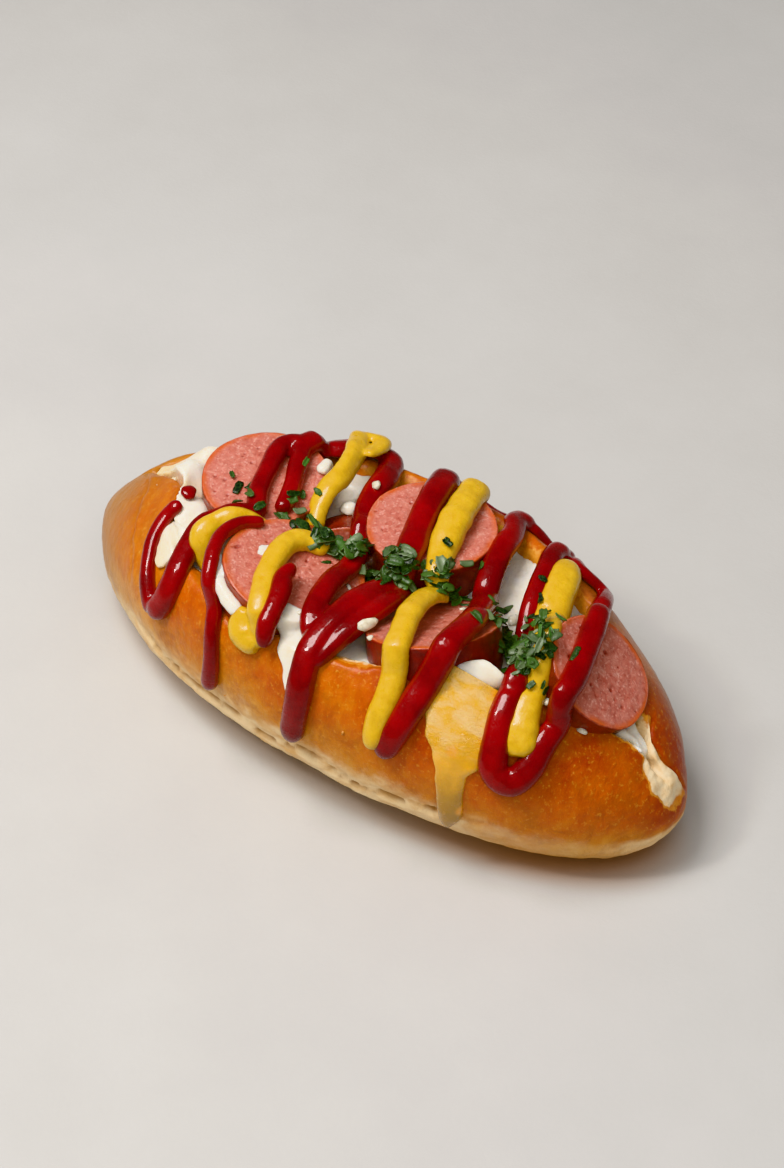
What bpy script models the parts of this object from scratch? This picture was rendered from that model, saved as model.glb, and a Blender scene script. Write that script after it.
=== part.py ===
"""A soft split roll filled with sausage slices and creamy sauce, striped with ketchup and mustard.

The roll lies along X with its flat base on the floor. -Y is the side that faces a viewer,
+Y the far side. A place on the outside is given by its distance along X and by how far it
leans round the roll's long axis: 0 degrees is straight up, -90 the near flank, 90 the far one.
"""

import math
import random

import bmesh
import bpy
from mathutils import Matrix, Vector, noise
from mathutils.bvhtree import BVHTree

MM = 0.001
GAP = 0.3 * MM
MERGE = 0.002 * MM
FLAT_ANGLES = (math.radians(3), math.radians(1.2), 0)
SEED = 11

# Roll
ROLL_LENGTH = 190 * MM
ROLL_WIDTH = 87 * MM
ROLL_HEIGHT = 60 * MM
TIP_HEIGHT = 15 * MM
WAIST_SHARE = 0.42
SLOT_FLOOR = 20 * MM
WALL = 6 * MM
SLOT_START = -0.86
SLOT_END = 0.97
CRUST_LUMP = 0.7 * MM
LUMP_SIZE = 17 * MM
ROLL_SECTIONS = 38
FLANK_POINTS = 9
# Each lip is where the split starts: a place along the half length, and a share of the half width.
NEAR_LIP = (
    (-1, 0.1), (-0.76, 0.17), (-0.66, 0.30), (-0.57, 0.66), (-0.45, 0.80), (-0.2, 0.89),
    (0.12, 0.82), (0.5, 0.60), (0.69, 0.41), (0.8, 0.25), (0.89, 0.12), (1, 0.1),
)
FAR_LIP = (
    (-1, 0.1), (-0.76, 0.54), (-0.45, 0.84), (-0.1, 0.90),
    (0.15, 0.89), (0.5, 0.76), (0.74, 0.58), (0.84, 0.38), (0.9, 0.2), (1, 0.15),
)
# The lip's rounded edge and the top of the cut wall, as steps in mm inward and up
LIP_STEPS = ((1.8, 0.7), (4.2, -0.6), (6, -3.5), (7.5, -9))

# The axis that the leans are measured round
AXIS_HEIGHT = 24 * MM

# Sausage slices: centre of the cut face, which way the face looks, diameter and thickness.
# The last one stands on edge under its neighbours.
SLICE_SIDES = 24
SLICE_ROUNDING = 1.3 * MM
SLICES = (
    {"at": (-43, 7, 50.5), "faces": (0.05, 0, 1), "across": 35, "thick": 12},
    {"at": (-14, -17, 52), "faces": (0.20, 0.13, 0.97), "across": 37, "thick": 11},
    {"at": (4, 18, 51.5), "faces": (-0.02, 0.02, 1), "across": 35, "thick": 13},
    {"at": (25, -10, 51), "faces": (-0.30, 0.29, 0.90), "across": 35, "thick": 14},
    {"at": (67, 4, 48), "faces": (0.62, 0.17, 0.77), "across": 31, "thick": 12},
    {"at": (-13, 2.5, 35.5), "faces": (0.45, -0.82, 0.35), "across": 27, "thick": 10},
)

# Creamy filling
FILLING_SECTIONS = 22
FILLING_ACROSS = 8
FILLING_DIP = 3.5 * MM
FILLING_OVERSIZE = 1.5 * MM
FILLING_GAP = 0.5 * MM
FILLING_START = -0.79
FILLING_END = 0.86

# Sauce strands, laid as low domes on a flat underside
LEAN_MM = 0.6
REACH = 90 * MM
STRAND_STEP = 5.6
STRAND_LIFT = 0.45 * MM
STRAND_DROP = 0.75
STRAND_NOSE = 0.14
# How many places a strand feels for the top within each of its steps
LOOKS = 4
STRAND_SECTION = ((-0.8, 0), (0.8, 0), (1, 0.45), (0.5, 1), (-0.5, 1), (-1, 0.45))
SHEET_ROWS = 10
SHEET_ACROSS = 5

# Each strand: width and height in mm along its run, and its path as (x in mm, lean in degrees)
KETCHUP = (
    {
        "width": (4.4, 4.6, 5.4),
        "high": (2, 2.4, 3),
        "path": ((-55, -28), (-57, -37), (-57, -46), (-56, -54), (-53, -64), (-50, -71), (-46, -77)),
    },
    {
        "width": (7, 7, 5.6),
        "high": (3.4, 3.2, 3),
        "path": (
            (-46, -77), (-43, -68), (-42, -58), (-44, -48),
            (-45, -39), (-44, -29), (-40, -19), (-34, -11),
        ),
    },
    {
        "width": (5.5, 5.5, 6, 5.5, 5),
        "high": (3.2, 3.4, 3.6, 3.4, 3),
        "path": ((-35, -14), (-40, 0), (-44, 20), (-46, 33), (-42, 38), (-38, 28), (-34, 14), (-31, -3)),
        "step": 4.4,
    },
    {
        "width": (6.5, 9, 7.5, 6.2, 5.8, 6.4, 7),
        "high": (3.4, 4.2, 3.6, 3.2, 3, 3, 3),
        "path": (
            (-42, 32), (-40, 50), (-33, 58), (-24, 60), (-20, 53),
            (-15, 30), (-8, 6), (-5, -12), (-4, -28), (-1, -42), (4, -52),
        ),
    },
    {
        "width": (7.2, 8, 8.2, 8, 8, 7.6, 7.4),
        "high": (3.4, 3.6, 3.6, 3.4, 3.4, 3.4, 3.4),
        "path": (
            (-2, 72), (-7, 64), (-4, 54), (1, 34), (6, 12), (8, -6),
            (7, -25), (6, -41), (5.5, -52), (6.5, -63), (7, -74), (6, -88),
        ),
    },
    {
        "width": (6, 7, 6.5, 5),
        "high": (3, 3.4, 3.2, 2.6),
        "path": ((11, -8), (12, -22), (12, -34), (10, -46), (8, -58)),
    },
    {
        "width": (5, 6.5, 6.5, 5),
        "high": (2.6, 3.2, 3.2, 2.6),
        "path": ((-4, 68), (4, 75), (14, 73), (20, 64)),
    },
    {
        "width": (7, 7, 7, 7.4, 7.8, 7.4),
        "high": (3.4, 3.4, 3.2, 3.4, 3.6, 3.4),
        "path": (
            (20, 66), (18, 59), (21, 50), (26, 30), (32, 4), (37, -22),
            (36, -46), (35, -60), (33.5, -70), (32, -77),
        ),
    },
    {
        "width": (5, 5, 5),
        "high": (2.6, 2.6, 2.6),
        "path": ((20, 62), (26, 72), (33, 66), (35, 58)),
    },
    {
        "width": (6.5, 6, 6, 6.6, 7.2, 7.8, 7.2, 6.6),
        "high": (3.4, 3.2, 3.2, 3.4, 3.6, 3.6, 3.6, 3.4),
        "path": (
            (34, 60), (34, 53), (37, 42), (42, 20), (48, -6), (53, -27), (55, -44), (57, -57),
            (59, -68), (63.5, -71), (66, -62), (66, -47), (66.5, -33), (66, -24),
        ),
        "step": 4.2,
    },
    {
        "width": (5, 5, 6, 6.6, 6.8, 6),
        "high": (2.6, 2.6, 3.2, 3.4, 3.4, 3.2),
        "path": ((37, 62), (42, 56), (48, 63), (52, 54), (58, 28), (63, 2), (66, -20), (66, -36)),
    },
)
KETCHUP_LEFT_DRIP = (
    {
        "width": (3.5, 4.5, 4.5, 5),
        "high": (2.2, 2.6, 2.6, 3),
        "path": (
            (-29, -19), (-33, -25), (-34, -32), (-32, -39), (-29, -46),
            (-26, -54), (-23, -67), (-22, -78), (-23, -90),
        ),
    },
)
KETCHUP_SHORT_DRIP = (
    {
        "width": (4, 6, 5.5, 5),
        "high": (2.6, 2.8, 2.8, 2.8),
        "path": ((-12, -31), (-12, -37), (-9.5, -42), (-7.5, -49), (-6, -59)),
    },
)
KETCHUP_DROP = (
    {
        "width": (5, 7),
        "high": (1.6, 1.8),
        "path": ((-58, -22), (-54.5, -19)),
        "step": 1.5,
    },
)
MUSTARD = {
    "mustard_far_left": (
        {
            "width": (5.6, 6.8, 6.8, 5.6),
            "high": (2.4, 3.2, 3.2, 2.8),
            "path": ((-35, 56), (-31, 50), (-27, 34), (-25, 18), (-23, 8)),
        },
        {
            "width": (4.4, 4.4, 3),
            "high": (2.2, 2.2, 1.6),
            "path": ((-34, 55), (-29, 57.5), (-26, 54), (-25, 45)),
        },
    ),
    "mustard_near_left": (
        {
            "width": (4, 6, 7.2, 7.6),
            "high": (2.4, 3, 3.2, 3.4),
            "path": (
                (-30, -15), (-36, -19), (-40, -25), (-42, -32),
                (-42, -39), (-39, -46), (-35, -50), (-31, -54),
            ),
        },
    ),
    "mustard_left": (
        {
            "width": (5.4, 6.8, 6.6, 6.4, 7.4),
            "high": (2.8, 3.4, 3.2, 3.2, 3.4),
            "path": ((-12, -12), (-18, -15), (-20, -24), (-17, -38), (-12, -48), (-9, -55), (-9, -61)),
        },
        {
            "width": (6, 9, 8.6),
            "high": (2.8, 4.2, 4),
            "path": ((-15, -51), (-15, -56), (-12.5, -60), (-8, -61)),
            "step": 2.6,
        },
    ),
    "mustard_middle": (
        {
            "width": (8, 8.6, 9, 7.6, 6.6),
            "high": (3.4, 3.2, 3.8, 3.2, 3.2),
            "path": ((3, 60), (6, 50), (10, 33), (14, 16), (18, 2)),
        },
        {
            "width": (6.6, 7, 7, 7.2, 6.8, 6.6),
            "high": (3.4, 3, 3, 3.4, 3.2, 3.2),
            "path": ((20, 2), (20, -12), (22, -26), (26, -38), (28, -48), (29, -57), (29, -66), (30, -75)),
        },
    ),
    "mustard_right": (
        {
            "width": (9.4, 10, 8, 6.8),
            "high": (3.8, 4, 3.4, 3),
            "path": ((39, 53), (44, 36), (50, 14), (55, -6)),
        },
        {
            "width": (6.6, 6.4, 8.6, 10),
            "high": (3, 3.2, 4, 4),
            "path": ((55, -5), (58, -21), (58.5, -35), (60.5, -47), (63, -59)),
        },
    ),
}
CREAM_STRANDS = (
    {"width": (5, 5), "high": (3, 3), "path": ((-34, 44), (-32, 34))},
    {"width": (5, 6, 6), "high": (3, 3.4, 3.4), "path": ((-25, 55), (-22, 44), (-20, 30))},
    {"width": (8, 8), "high": (2.6, 2.6), "path": ((48, 46), (50, 38))},
    {"width": (7, 10, 8), "high": (1.6, 2.6, 2.4), "path": ((40, -39), (46, -32), (54, -26))},
    {"width": (3, 4, 4.5), "high": (2, 2.4, 2.4), "path": ((-31, -40), (-27, -47), (-22, -51), (-16, -54))},
    {"width": (6, 7), "high": (2.6, 2.8), "path": ((-4, 3), (3, -3), (8, -6))},
)
# Mounds of the filling beside the first slice: x and y, how far they rise and their radius, in mm
MOUNDS = ((-62, 8, 7, 8), (-61, -1, 8, 8), (-54, -10, 9, 8), (-45, -14, 9, 8))

# Thin pools that run down the crust: rows of (lean in degrees, left x, right x)
CHEESE_DRIP = {
    "thick": 1.6,
    "rows": (
        (-35, 39, 52), (-44, 37.5, 54), (-54, 38, 56), (-62, 40.5, 56.5), (-69, 44, 55.5),
        (-76, 46, 53.5), (-88, 47, 53.5), (-98, 47.3, 53.3), (-105, 48.8, 51.8),
    ),
    "count": 13,
}
CREAM_DRIP = {
    "thick": 1.4,
    "rows": ((-44, -8, 3), (-52, -7.5, 5), (-58, -3.5, 6), (-65, 0.5, 7), (-73, 3.5, 7)),
    "count": 9,
}
CREAM_TONGUE = {
    "thick": 1.2,
    "rows": (
        (-38, -56, -47.5), (-45, -55.5, -46.5), (-52, -54.5, -46.5),
        (-57, -53, -48), (-60, -51.5, -49),
    ),
    "count": 7,
}

# Chopped leaves and onion
LEAF_LENGTH = (3.0, 5.5)
LEAF_OUTLINE = ((0, 0.3), (0.45, 1), (1, 0.25))
BIT_THICKNESS = 0.6 * MM
HEAP_TILT = 50
HERBS = {
    "herbs_middle": {
        "width": (7, 12, 9, 11, 7),
        "high": (1.2, 1.8, 1.6, 1.8, 1.2),
        "path": ((-30, 0), (-20, -4), (-10, -5), (0, -4), (10, -4), (17, 2), (22, 10)),
        "bits": 19,
        "step": 7,
    },
    "herbs_right": {
        "width": (9, 15, 13),
        "high": (1.6, 2.6, 2),
        "path": ((41, 2), (47, -4), (53, -10), (57, -15)),
        "bits": 19,
        "step": 6,
    },
}
BITS_ON_FIRST_SLICE = ((-48, 0), (-45, -8), (-28, 8), (-29, 17), (-31, 26))
ONION_ON_FILLING = ((14, -37), (3, -5), (36, 30), (62, -27), (-17, 38))
ONION_SIZE = 3.6


def clear_scene():
    for obj in list(bpy.data.objects):
        bpy.data.objects.remove(obj, do_unlink=True)


def material(name, colour, roughness):
    made = bpy.data.materials.new(name)
    made.use_nodes = True
    shader = made.node_tree.nodes["Principled BSDF"]
    shader.inputs["Base Color"].default_value = (*colour, 1)
    shader.inputs["Roughness"].default_value = roughness
    shader.inputs["Metallic"].default_value = 0
    return made


def mix(a, b, share):
    return a + (b - a) * share


def clamp(value, low=0.0, high=1.0):
    return max(low, min(high, value))


def ease(value):
    value = clamp(value)
    return value * value * (3 - 2 * value)


def along(points, place):
    """The smooth value at a place on a list of (place, value) points."""
    for (start, first), (end, second) in zip(points, points[1:]):
        if place <= end:
            return mix(first, second, ease((place - start) / (end - start)))
    return points[-1][1]


def add_object(name, mesh_data, finish=None, smooth=True):
    mesh = bpy.data.meshes.new(name)
    mesh_data.normal_update()
    mesh_data.to_mesh(mesh)
    mesh_data.free()
    mesh.polygons.foreach_set("use_smooth", [smooth] * len(mesh.polygons))
    if finish:
        mesh.materials.append(finish)
    obj = bpy.data.objects.new(name, mesh)
    bpy.context.scene.collection.objects.link(obj)
    return obj


def loft(loops, start=None, end=None):
    """A closed body through loops of points, ending in the points given or else in flat caps."""
    body = bmesh.new()
    rings = [[body.verts.new(point) for point in loop] for loop in loops]
    size = len(rings[0])
    for first, second in zip(rings, rings[1:]):
        for i in range(size):
            j = (i + 1) % size
            body.faces.new((first[i], first[j], second[j], second[i]))
    for ring, point in ((rings[0], start), (rings[-1], end)):
        if point is None:
            body.faces.new(ring)
            continue
        tip = body.verts.new(point)
        for i in range(size):
            body.faces.new((ring[i], ring[(i + 1) % size], tip))
    bmesh.ops.recalc_face_normals(body, faces=body.faces)
    bmesh.ops.triangulate(body, faces=[face for face in body.faces if len(face.verts) > 4])
    return body


# Roll


def half_width(u):
    power = 0.68 if u < 0 else 0.56
    return ROLL_WIDTH / 2 * (1 - abs(u) ** 2.1) ** power


def crown(u):
    return TIP_HEIGHT + (ROLL_HEIGHT - TIP_HEIGHT) * (1 - abs(u) ** 1.9) ** 0.6


def underside(u):
    return TIP_HEIGHT * (1 - (1 - abs(u) ** 8) ** 0.5)


def flank(u, share, side, below=False):
    """The point of the crust at a share of the half width, on the upper or the lower half of one side."""
    low = underside(u)
    top = crown(u)
    waist = mix(low, top, WAIST_SHARE)
    turn = math.acos(clamp(abs(share)) ** (1 / 0.9))
    y = side * half_width(u) * share
    if below:
        return y, max(low, waist - 1.15 * (waist - low) * math.sin(turn) ** 0.8)
    return y, waist + (top - waist) * math.sin(turn) ** 0.75


def lip_share(u, side):
    return along(NEAR_LIP if side < 0 else FAR_LIP, u)


def split_depth(u):
    return ease((u - SLOT_START) / 0.12) * ease((SLOT_END - u) / 0.16)


def slot_middle(u):
    return half_width(u) * (lip_share(u, 1) - lip_share(u, -1)) / 2


def lip_and_wall(u, side):
    """From the lip over its rounded edge and down the cut wall to the floor of the split."""
    share = lip_share(u, side)
    lip_y, lip_z = flank(u, share, side)
    reach = abs(lip_y - slot_middle(u))
    room = min(1.0, reach / (12 * MM))
    floor = mix(lip_z, max(SLOT_FLOOR, underside(u) + 8 * MM), split_depth(u))
    inward = -side
    points = []
    for over, up in LIP_STEPS:
        cut_y = lip_y + inward * min(over * MM * room, reach * 0.8)
        cut_z = max(lip_z + up * MM * room, floor)
        crust_z = flank(u, abs(mix(share, 0, over * MM / (WALL * 2.5))), side)[1]
        points.append((cut_y, mix(crust_z, cut_z, split_depth(u))))
    corner_y = mix(points[-1][0], slot_middle(u), 0.35)
    points.append((corner_y, mix(points[-1][1], floor, 0.85)))
    return [(lip_y, lip_z)] + points


def roll_loop(u, flank_points=FLANK_POINTS):
    """One section of the roll: base, near flank and wall, floor of the split, far wall and flank."""
    halves = []
    for side in (-1, 1):
        low = [flank(u, math.sin(math.pi / 8 * i), side, below=True) for i in range(1, 5)]
        share = lip_share(u, side)
        last = math.acos(clamp(abs(share)) ** (1 / 0.9))
        steps = flank_points - 4
        turns = [last * i / steps for i in range(1, steps)]
        high = [flank(u, math.cos(turn) ** 0.9, side) for turn in turns]
        halves.append(low + high + lip_and_wall(u, side))
    near, far = halves
    floor_z = min(near[-1][1], far[-1][1])
    floor = (slot_middle(u), floor_z)
    x = u * ROLL_LENGTH / 2
    return [Vector((x, y, z)) for y, z in [(0, underside(u))] + near + [floor] + far[::-1]]


def add_lumps(body, amount=CRUST_LUMP):
    """Baked unevenness: broad lumps, fading out at the flat base."""
    body.normal_update()
    for vert in body.verts:
        lump = noise.noise(vert.co / LUMP_SIZE) * amount * ease(vert.co.z / (12 * MM))
        vert.co += vert.normal * lump


def roll_body(sections=ROLL_SECTIONS, flank_points=FLANK_POINTS):
    turns = [math.pi * (i + 1) / (sections + 1) for i in range(sections)]
    loops = [roll_loop(-math.cos(turn), flank_points) for turn in turns]
    tips = [(side * ROLL_LENGTH / 2, 0, TIP_HEIGHT) for side in (-1, 1)]
    body = loft(loops, *tips)
    add_lumps(body)
    return body


# Sausage slices


def slice_body(row):
    """A cut disc with a rounded skin edge, a little out of round."""
    radius = row["across"] / 2 * MM
    thick = row["thick"] * MM
    edge = SLICE_ROUNDING
    rings = (
        (radius - edge, 0.1 * MM),
        (radius, -edge),
        (radius, edge - thick),
        (radius - edge, -thick),
    )
    place = Vector(row["at"]) * MM
    facing = Vector(row["faces"]).normalized().to_track_quat("Z", "Y").to_matrix().to_4x4()
    loops = []
    for ring_radius, height in rings:
        loop = []
        for i in range(SLICE_SIDES):
            turn = 2 * math.pi * i / SLICE_SIDES
            wobble = 1 + 0.02 * math.sin(2 * turn + row["at"][0]) + 0.008 * math.sin(5 * turn)
            local = Vector((math.cos(turn), math.sin(turn), 0)) * ring_radius * wobble
            loop.append(local + Vector((0, 0, height)))
        loops.append(loop)
    body = loft(loops, start=(0, 0, 0.3 * MM), end=(0, 0, -thick))
    bmesh.ops.transform(body, matrix=Matrix.Translation(place) @ facing, verts=body.verts)
    return body


# Creamy filling


def filling_height(u, across):
    """Height of the filling, between 0 at the near wall and 1 at the far wall."""
    near_z = flank(u, lip_share(u, -1), -1)[1]
    far_z = flank(u, lip_share(u, 1), 1)[1]
    left = ease((-0.62 - u) / 0.08)
    edge = mix(near_z, far_z, across) - 2 * MM * (1 - left)
    place = Vector((u * 6, across * 3, 0))
    dip = FILLING_DIP * (1 - 1.2 * ease((u - 0.66) / 0.1) - left)
    return edge - dip * math.sin(math.pi * across) + 1.5 * MM * noise.noise(place)


def mound_height(x, y):
    rise = 0.0
    for middle_x, middle_y, high, radius in MOUNDS:
        apart = math.hypot(x / MM - middle_x, y / MM - middle_y) / radius
        rise = max(rise, high * math.exp(-apart ** 2))
    return rise * MM


def filling_loop(u):
    x = u * ROLL_LENGTH / 2
    near_y = flank(u, lip_share(u, -1), -1)[0] + WALL - FILLING_OVERSIZE
    far_y = flank(u, lip_share(u, 1), 1)[0] - WALL + FILLING_OVERSIZE
    if far_y - near_y < 4 * MM:
        near_y = slot_middle(u) - 2 * MM
        far_y = slot_middle(u) + 2 * MM
    loop = []
    for i in range(FILLING_ACROSS + 1):
        across = i / FILLING_ACROSS
        y = mix(near_y, far_y, across)
        loop.append(Vector((x, y, filling_height(u, across) + mound_height(x, y))))
    low = min(point.z for point in loop) - 4 * MM
    for across in (0.9, 0.65, 0.35, 0.1):
        depth = mix(SLOT_FLOOR - 1 * MM, low, abs(across - 0.5) * 0.8)
        loop.append(Vector((x, mix(near_y, far_y, across), min(low, depth))))
    return loop


def filling_body():
    steps = [i / (FILLING_SECTIONS - 1) for i in range(FILLING_SECTIONS)]
    return loft([filling_loop(mix(FILLING_START, FILLING_END, step)) for step in steps])


# Joining and cutting


def grown(obj, by=GAP):
    """A copy of a body with its faces moved out, as the cutter that keeps a neighbour clear of it."""
    body = bmesh.new()
    body.from_mesh(obj.data)
    body.normal_update()
    moves = [vert.normal * by for vert in body.verts]
    for vert, move in zip(body.verts, moves):
        vert.co += move
    return add_object(obj.name + "_cutter", body)


def is_closed(mesh):
    body = bmesh.new()
    body.from_mesh(mesh)
    bmesh.ops.remove_doubles(body, verts=body.verts, dist=MERGE)
    closed = all(len(edge.link_faces) == 2 for edge in body.edges)
    body.free()
    return closed and len(mesh.polygons) > 0


def boolean(obj, others, operation):
    """One Boolean of the object with all the others, applied. The others are then removed."""
    group = bpy.data.collections.new(obj.name + "_tools")
    bpy.context.scene.collection.children.link(group)
    for other in others:
        group.objects.link(other)
    modifier = obj.modifiers.new(operation.lower(), "BOOLEAN")
    modifier.operation = operation
    modifier.operand_type = "COLLECTION"
    modifier.collection = group
    for solver in ("EXACT", "MANIFOLD"):
        modifier.solver = solver
        bpy.context.view_layer.update()
        graph = bpy.context.evaluated_depsgraph_get()
        result = bpy.data.meshes.new_from_object(obj.evaluated_get(graph))
        if is_closed(result):
            break
    obj.modifiers.clear()
    obj.data = result
    for other in others:
        bpy.data.objects.remove(other, do_unlink=True)
    bpy.data.collections.remove(group)
    return obj


def copied(obj):
    """A copy for one Boolean, which then removes it."""
    twin = bpy.data.objects.new(obj.name + "_copy", obj.data.copy())
    bpy.context.scene.collection.objects.link(twin)
    return twin


def drop_scraps(body):
    """Keeps the largest connected piece of a mesh."""
    left = set(body.verts)
    groups = []
    while left:
        stack = [left.pop()]
        group = set(stack)
        while stack:
            for edge in stack.pop().link_edges:
                for vert in edge.verts:
                    if vert in left:
                        left.remove(vert)
                        group.add(vert)
                        stack.append(vert)
        groups.append(group)
    groups.sort(key=len)
    scraps = [vert for group in groups[:-1] for vert in group]
    bmesh.ops.delete(body, geom=scraps, context="VERTS")


def tidy(obj):
    """Drops the scraps that a cut leaves and the splits that it adds to nearly flat faces."""
    for flat in FLAT_ANGLES:
        body = bmesh.new()
        body.from_mesh(obj.data)
        bmesh.ops.remove_doubles(body, verts=body.verts, dist=MERGE)
        drop_scraps(body)
        if flat:
            bmesh.ops.dissolve_limit(body, angle_limit=flat, verts=body.verts, edges=body.edges)
        bmesh.ops.triangulate(body, faces=body.faces)
        bmesh.ops.dissolve_degenerate(body, edges=body.edges, dist=MERGE)
        mesh = bpy.data.meshes.new(obj.name)
        body.to_mesh(mesh)
        body.free()
        if is_closed(mesh):
            break
    for slot in obj.data.materials:
        mesh.materials.append(slot)
    mesh.polygons.foreach_set("use_smooth", [True] * len(mesh.polygons))
    obj.data = mesh


# Places on the outside


class Surface:
    """The top of everything laid so far, found by looking in toward the roll's long axis."""

    def __init__(self, bodies):
        points = []
        faces = []
        for obj in bodies:
            start = len(points)
            points += [vert.co.copy() for vert in obj.data.vertices]
            faces += [[start + i for i in face.vertices] for face in obj.data.polygons]
        self.tree = BVHTree.FromPolygons(points, faces)

    def reach(self, x, lean):
        """Distance from the axis to the top, and the way that the top faces."""
        out = outward(lean)
        far = on_axis(x) + out * REACH
        spot, normal, _, distance = self.tree.ray_cast(far, -out)
        if spot is None:
            return 10 * MM, out
        return REACH - distance, normal


def outward(lean):
    turn = math.radians(lean)
    return Vector((0, math.sin(turn), math.cos(turn)))


def on_axis(x):
    return Vector((x, 0, AXIS_HEIGHT))


def curve(before, start, end, after, t):
    """A smooth value between start and end that also heeds the values on either side."""
    slope = end - before
    bend = 2 * before - 5 * start + 4 * end - after
    twist = 3 * start - before - 3 * end + after
    return start + 0.5 * (slope * t + bend * t * t + twist * t ** 3)


def spline(points, spacing):
    """Even steps along a smooth curve through (x in mm, lean in degrees)."""
    ends = [points[0]] + list(points) + [points[-1]]
    fine = []
    for a, b, c, d in zip(ends, ends[1:], ends[2:], ends[3:]):
        for step in range(12):
            fine.append([curve(*values, step / 12) for values in zip(a, b, c, d)])
    fine.append(list(points[-1]))
    run = [0.0]
    for (x, lean), (next_x, next_lean) in zip(fine, fine[1:]):
        run.append(run[-1] + math.hypot(next_x - x, (next_lean - lean) * LEAN_MM))
    count = max(3, round(run[-1] / spacing))
    steps = []
    i = 0
    for k in range(count + 1):
        goal = run[-1] * k / count
        while i < len(run) - 2 and run[i + 1] < goal:
            i += 1
        share = (goal - run[i]) / max(run[i + 1] - run[i], 1e-9)
        steps.append([mix(p, q, share) for p, q in zip(fine[i], fine[i + 1])])
    return steps


def profile(values, share):
    """A smooth value from evenly spaced ones."""
    if len(values) == 1:
        return values[0]
    return along([(i / (len(values) - 1), value) for i, value in enumerate(values)], share)


def sagging(reaches, spacing):
    """A strand follows the top but spans the gaps: it drops no faster than its slope, then evens out."""
    count = len(reaches)
    spans = [
        max(reaches[j] - STRAND_DROP * abs(i - j) * spacing for j in range(count)) for i in range(count)
    ]
    for _ in range(3):
        padded = [spans[0]] + spans + [spans[-1]]
        spans = [max(b, (a + 2 * b + c) / 4) for a, b, c in zip(padded, padded[1:], padded[2:])]
    return spans


def run_over(surface, path, spacing):
    """The centres of a strand's sections over the top, and the way that each faces."""
    steps = spline(path, spacing / LOOKS)
    hits = [surface.reach(x * MM, lean) for x, lean in steps]
    spans = sagging([hit[0] for hit in hits], spacing / LOOKS * MM)
    sections = max(2, len(steps) // LOOKS)
    centres = []
    ups = []
    for k in range(sections + 1):
        i = round(k * (len(steps) - 1) / sections)
        beside = slice(max(0, i - LOOKS // 2), i + LOOKS // 2 + 1)
        x, lean = steps[i]
        centres.append(on_axis(x * MM) + outward(lean) * max(spans[beside]))
        ups.append(outward(lean) + sum((hit[1] for hit in hits[beside]), Vector()).normalized())
    return centres, ups


def strand_body(surface, row, extra=0.0):
    """A strand of sauce laid over the top: a low dome on a flat underside, with rounded ends."""
    spacing = row.get("step", STRAND_STEP)
    centres, ups = run_over(surface, row["path"], spacing)
    last = len(centres) - 1
    loops = []
    for i, centre in enumerate(centres):
        share = i / last
        ahead = (centres[min(i + 1, last)] - centres[max(i - 1, 0)]).normalized()
        up = (ups[i] - ahead * ups[i].dot(ahead)).normalized()
        across = ahead.cross(up)
        width = profile(row["width"], share) * MM / 2
        high = profile(row["high"], share) * MM
        from_end = min(i, last - i) * spacing * MM
        tuck = math.sqrt(clamp(1 - (1 - clamp((from_end + 0.6 * width) / (1.6 * width))) ** 2))
        base = centre + up * (STRAND_LIFT - extra)
        half = across * (width * tuck + extra)
        top = up * (high * (0.4 + 0.6 * tuck) + 2 * extra)
        loops.append([base + half * over + top * rise for over, rise in STRAND_SECTION])
    tips = []
    for loop, inner, width in (
        (loops[0], loops[1], row["width"][0]),
        (loops[-1], loops[-2], row["width"][-1]),
    ):
        middle = sum(loop, Vector()) / len(loop)
        outer_way = (middle - sum(inner, Vector()) / len(inner)).normalized()
        tips.append(middle + outer_way * (width * MM * STRAND_NOSE + extra))
    return loft(loops, *tips)


def sheet_body(surface, row, extra=0.0):
    """A thin pool that runs down the crust, from rows of (lean, left x, right x)."""
    leans = [edge[0] for edge in row["rows"]]
    lefts = [(-lean, edge[1]) for lean, edge in zip(leans, row["rows"])]
    rights = [(-lean, edge[2]) for lean, edge in zip(leans, row["rows"])]
    count = row.get("count", SHEET_ROWS)
    places = []
    for i in range(count):
        lean = mix(leans[0], leans[-1], i / (count - 1))
        left, right = (along(edge, -lean) * MM for edge in (lefts, rights))
        spots = [mix(left - extra, right + extra, k / SHEET_ACROSS) for k in range(SHEET_ACROSS + 1)]
        places.append([(x, lean) for x in spots])
    reaches = [[surface.reach(x, lean)[0] for x, lean in line] for line in places]
    for _ in range(2):
        reaches = [sagging(line, 2 * MM) for line in reaches]
        reaches = [list(line) for line in zip(*reaches)]
    loops = []
    for line, spans in zip(places, reaches):
        tops = []
        unders = []
        for k, ((x, lean), reach) in enumerate(zip(line, spans)):
            rim = min(1, math.sqrt(max(0.0, 1 - abs(2 * k / SHEET_ACROSS - 1) ** 4)) + 0.25)
            out = outward(lean)
            unders.append(on_axis(x) + out * (reach + STRAND_LIFT - extra))
            tops.append(on_axis(x) + out * (reach + STRAND_LIFT + row["thick"] * MM * rim + extra))
        loops.append(tops + unders[::-1])
    return loft(loops)


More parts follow.
